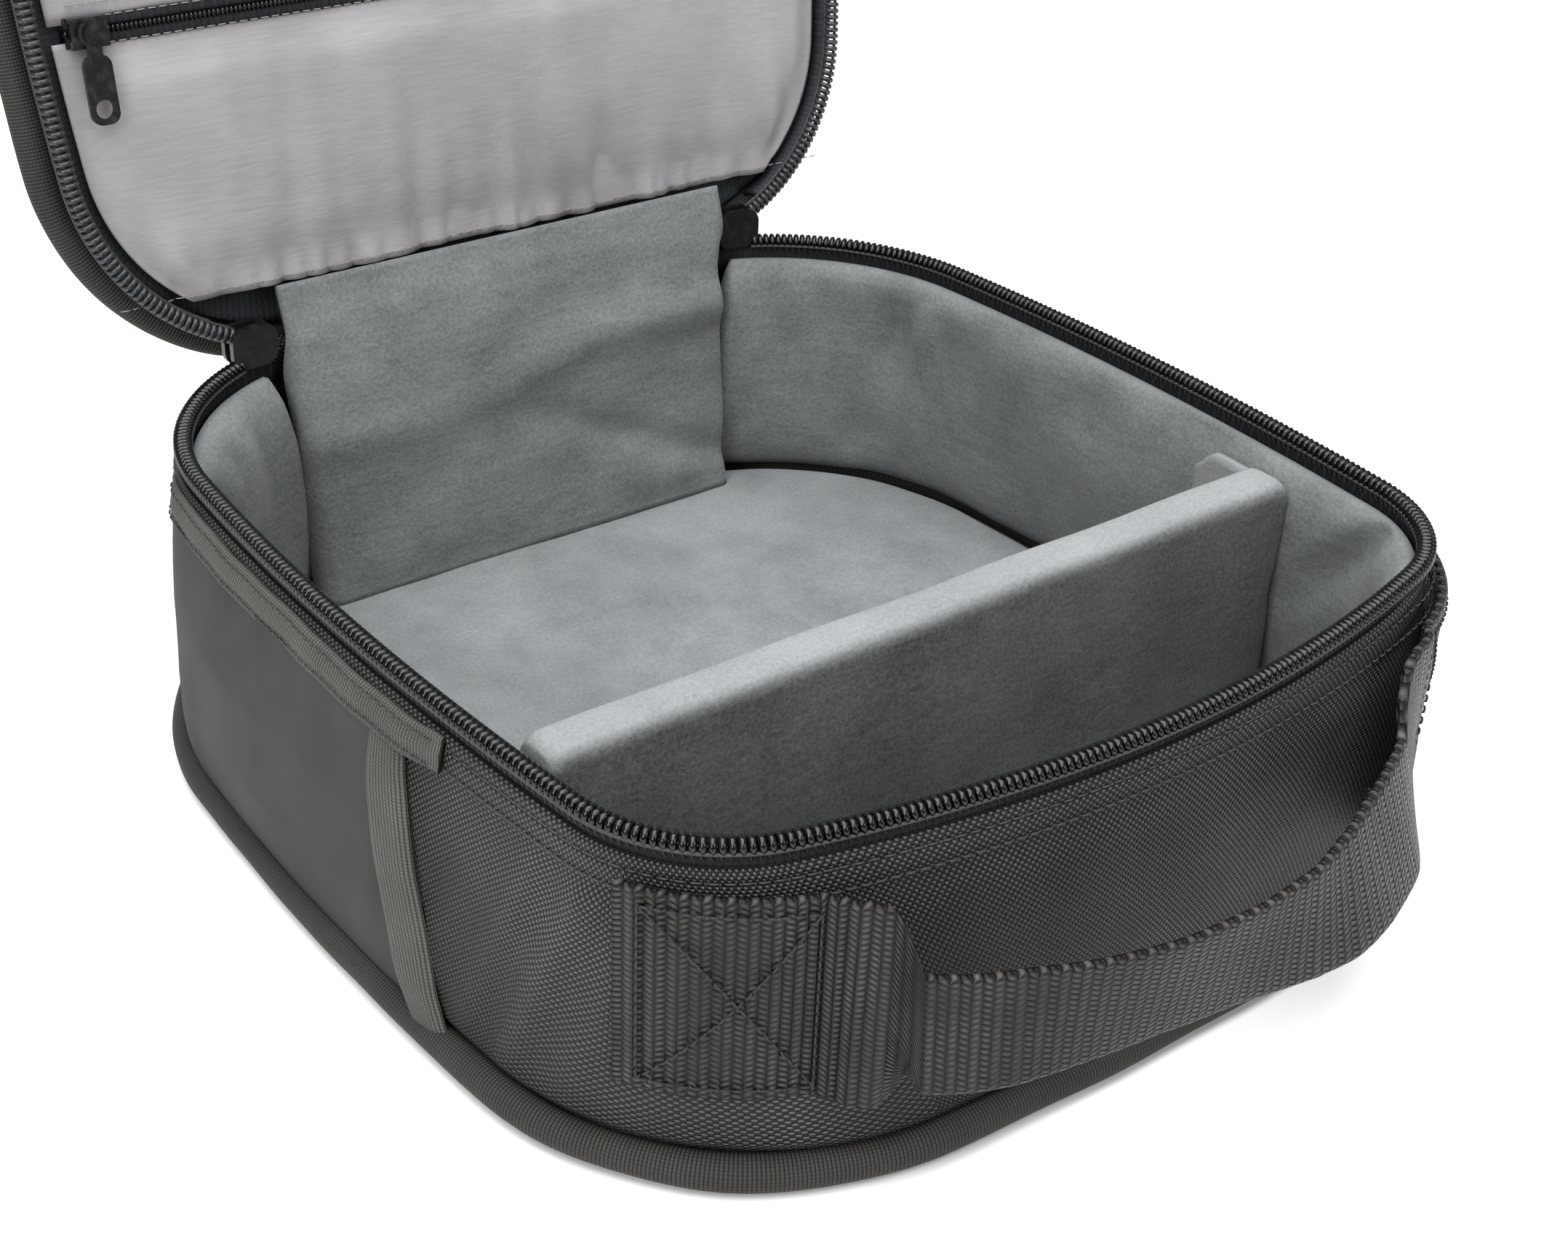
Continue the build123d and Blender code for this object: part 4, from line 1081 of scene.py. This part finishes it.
# ---- webbing handle
HANDLE_LEFT = ((-84, -127.4), (-82, -131.5), (-79, -135), (-73, -138.6), (-63, -143.4), (-55, -146.6), (-40, -151.4),
               (-22, -155), (-3, -156.4))
HANDLE_RIGHT = ((79, -128.4), (72, -133.6), (64, -139), (53.5, -145), (42, -150), (28, -154.6), (14, -156.6))
FOLD_RADIUS = 2.3
FOLD_Z, PATCH_Z = 31.6, 47.0        # height of the webbing's middle line where it is folded, and at its sewn ends
# how far the grip's top leans out past its bottom, along x
HANDLE_LEAN_X = (-84, -76, -56, -42, -26, -5, 12, 24, 37, 54, 66, 80)
HANDLE_LEAN = (0, -3.5, -2.2, 1.3, 3.3, 1.8, -3, -7.5, -9.5, -9.5, -6, 0)


def front_wall_points(x, z, off):
    """Points on the front half of the wall at the given x."""
    points, normals = ring(wall_shape(z)), normals_of(wall_shape(z))
    front = points[:, 1] < -60
    order = np.argsort(points[front, 0])
    table, facing = points[front][order], normals[front][order]
    outward = at_places(x, table[:, 0], facing)
    return at_places(x, table[:, 0], table) + outward * off, outward


def handle_strap():
    on_left, _ = front_wall_points(np.linspace(-113, -85.5, 26), HANDLE_Z, 1.9)
    on_right, _ = front_wall_points(np.linspace(113, 83, 26), HANDLE_Z, 0.9)
    left = np.concatenate([on_left, spline(HANDLE_LEFT, 8)])
    right = np.concatenate([on_right, spline(HANDLE_RIGHT, 8)])
    middle = resample(np.concatenate([left, right[::-1]]), 0.9)
    ahead = unit(np.gradient(middle, axis=0))
    outward = np.stack([ahead[:, 1], -ahead[:, 0]], -1)
    reach = np.abs(middle[:, 0])
    fold = np.where(middle[:, 0] < 0, 1 - smooth(63, 83.5, reach), 1 - smooth(50, 78, reach))
    turn = fold * pi
    fold_z = FOLD_Z + (PATCH_Z - FOLD_Z) * np.clip(np.cos(turn), 0, 1)
    lean = np.interp(middle[:, 0], HANDLE_LEAN_X, HANDLE_LEAN)
    wave_z = 0.5 * waves(level(middle, 0), 60, 95)

    def at(width, depth):
        """A point of the section: width from -25 to 25, depth out of the webbing's middle."""
        up = np.full(len(middle), max(width, 0.0))
        behind = np.zeros(len(middle))
        if width < 0:
            arc = np.minimum(-width, FOLD_RADIUS * np.maximum(turn, 0.02))
            angle = arc / FOLD_RADIUS * (turn > 0.02)
            straight = -width - arc
            up = -(FOLD_RADIUS * np.sin(angle) + straight * np.cos(np.minimum(angle, turn)))
            behind = FOLD_RADIUS * (1 - np.cos(angle)) + straight * np.sin(np.minimum(angle, turn)) * 0.35
        z = fold_z + up + wave_z * fold
        out = depth - behind + FOLD_RADIUS * fold + lean * (z - 43) / 24
        return np.concatenate([middle + outward * out[:, None], z[:, None]], 1)

    widths = np.concatenate([[23.7, 23.4, 22.8], np.linspace(22, -22, 70), [-22.8, -23.4, -23.7]]) + 0.3
    thick = np.concatenate([[0.4, 0.9, 1.2], np.full(70, 1.15), [1.2, 0.9, 0.4]])
    front = [at(w, t) for w, t in zip(widths, thick)]
    back = [at(w, -t) for w, t in zip(widths[::-1], thick[::-1])]
    travelled = lengths(middle)
    flat = [np.stack([travelled, np.full(len(middle), w)], -1) for w in np.concatenate([widths, widths[::-1]])]
    return grid("webbing_handle", np.asarray(front + back), WEBBING, closed_v=True, caps=True, plan_uv=flat)


strap = handle_strap()
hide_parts("handle_grip", "handle_patch_left", "handle_patch_right")
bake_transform(strap)

# box-and-cross stitching that holds the strap's ends
for side, name in ((-1, "left"), (1, "right")):
    rows = []
    corners = ((110.5, 67.5), (86.0, 67.5), (86.0, 26.5), (110.5, 26.5))
    for index, (start, end) in enumerate(((0, 1), (1, 2), (2, 3), (3, 0), (0, 2), (1, 3))):
        x, z = np.linspace(corners[start], corners[end], 30).T
        plan, facing = front_wall_points(x * side, HANDLE_Z, 3.2 if side < 0 else 2.2)
        rows.append(stitches(f"patch_{name}_{index}", level(plan, z), level(facing, 0), TAPE_THREAD, 2.6, 0.3))
    place(join(rows, f"patch_stitching_{name}"), "root", "handle_webbing")

# ---- small hard parts keep the CAD shapes
FINISHES = ((ENAMEL, ("main_slider_left", "main_slider_right", "main_pull_left", "main_pull_right", "pocket_slider",
                      "pocket_pull")),
            (BOARD, ("base_stiffener_board", "lid_stiffener_board", "divider_core")))
for material, names in FINISHES:
    for name in names:
        frame["nodes"][name].data.materials.clear()
        frame["nodes"][name].data.materials.append(material)

# ---- floor, light and camera
floor_shader = Shader("studio_floor", Roughness=0.9)
floor_shader.finish(floor_shader.mix(floor_shader.noise(400, 2), (0.86, 0.86, 0.86), (0.89, 0.89, 0.89)))
bpy.ops.mesh.primitive_plane_add(size=12, location=(0, 0, -0.0002))
floor = bpy.context.object
floor.name = "studio_floor"
floor.data.materials.append(floor_shader.material)

scene = bpy.context.scene
scene.view_settings.view_transform = "Standard"
scene.world = bpy.data.worlds.new("studio")
scene.world.use_nodes = True
sky = scene.world.node_tree.nodes["Background"].inputs
sky["Color"].default_value = (1, 1, 1, 1)
sky["Strength"].default_value = 0.26


def lamp(name, location, target, size, power):
    data = bpy.data.lights.new(name, "AREA")
    data.shape = "RECTANGLE"
    data.size, data.size_y = size
    data.energy = power
    lamp_object = bpy.data.objects.new(name, data)
    lamp_object.location = location
    lamp_object.rotation_euler = (Vector(target) - Vector(location)).to_track_quat("-Z", "Y").to_euler()
    scene.collection.objects.link(lamp_object)


lamp("overhead", (-0.1, -0.1, 1.25), (0, 0, 0.1), (1.5, 1.5), 38)
lamp("side", (-1.0, -0.5, 0.75), (0, 0, 0.06), (0.6, 0.6), 9)
lamp("front", (0.5, -1.2, 0.7), (0, 0, 0.06), (0.8, 0.6), 5)

AZIMUTH, ELEVATION, DISTANCE, ROLL = radians(-38.96), radians(31.08), 0.55052, radians(2.63)
AIM = Vector((-0.00338, -0.00659, 0.040))
back = Vector((sin(AZIMUTH) * cos(ELEVATION), -cos(AZIMUTH) * cos(ELEVATION), sin(ELEVATION)))
level_right = Vector((0, 0, 1)).cross(back).normalized()
level_up = back.cross(level_right)
right = level_right * cos(ROLL) + level_up * sin(ROLL)
up = level_up * cos(ROLL) - level_right * sin(ROLL)
camera_data = bpy.data.cameras.new("camera")
camera_data.lens = 52.57
camera_data.sensor_width = 36
camera = bpy.data.objects.new("camera", camera_data)
camera.matrix_world = Matrix.Translation(AIM + back * DISTANCE) @ Matrix(
    (right, up, back)).transposed().to_4x4()
scene.collection.objects.link(camera)
scene.camera = camera
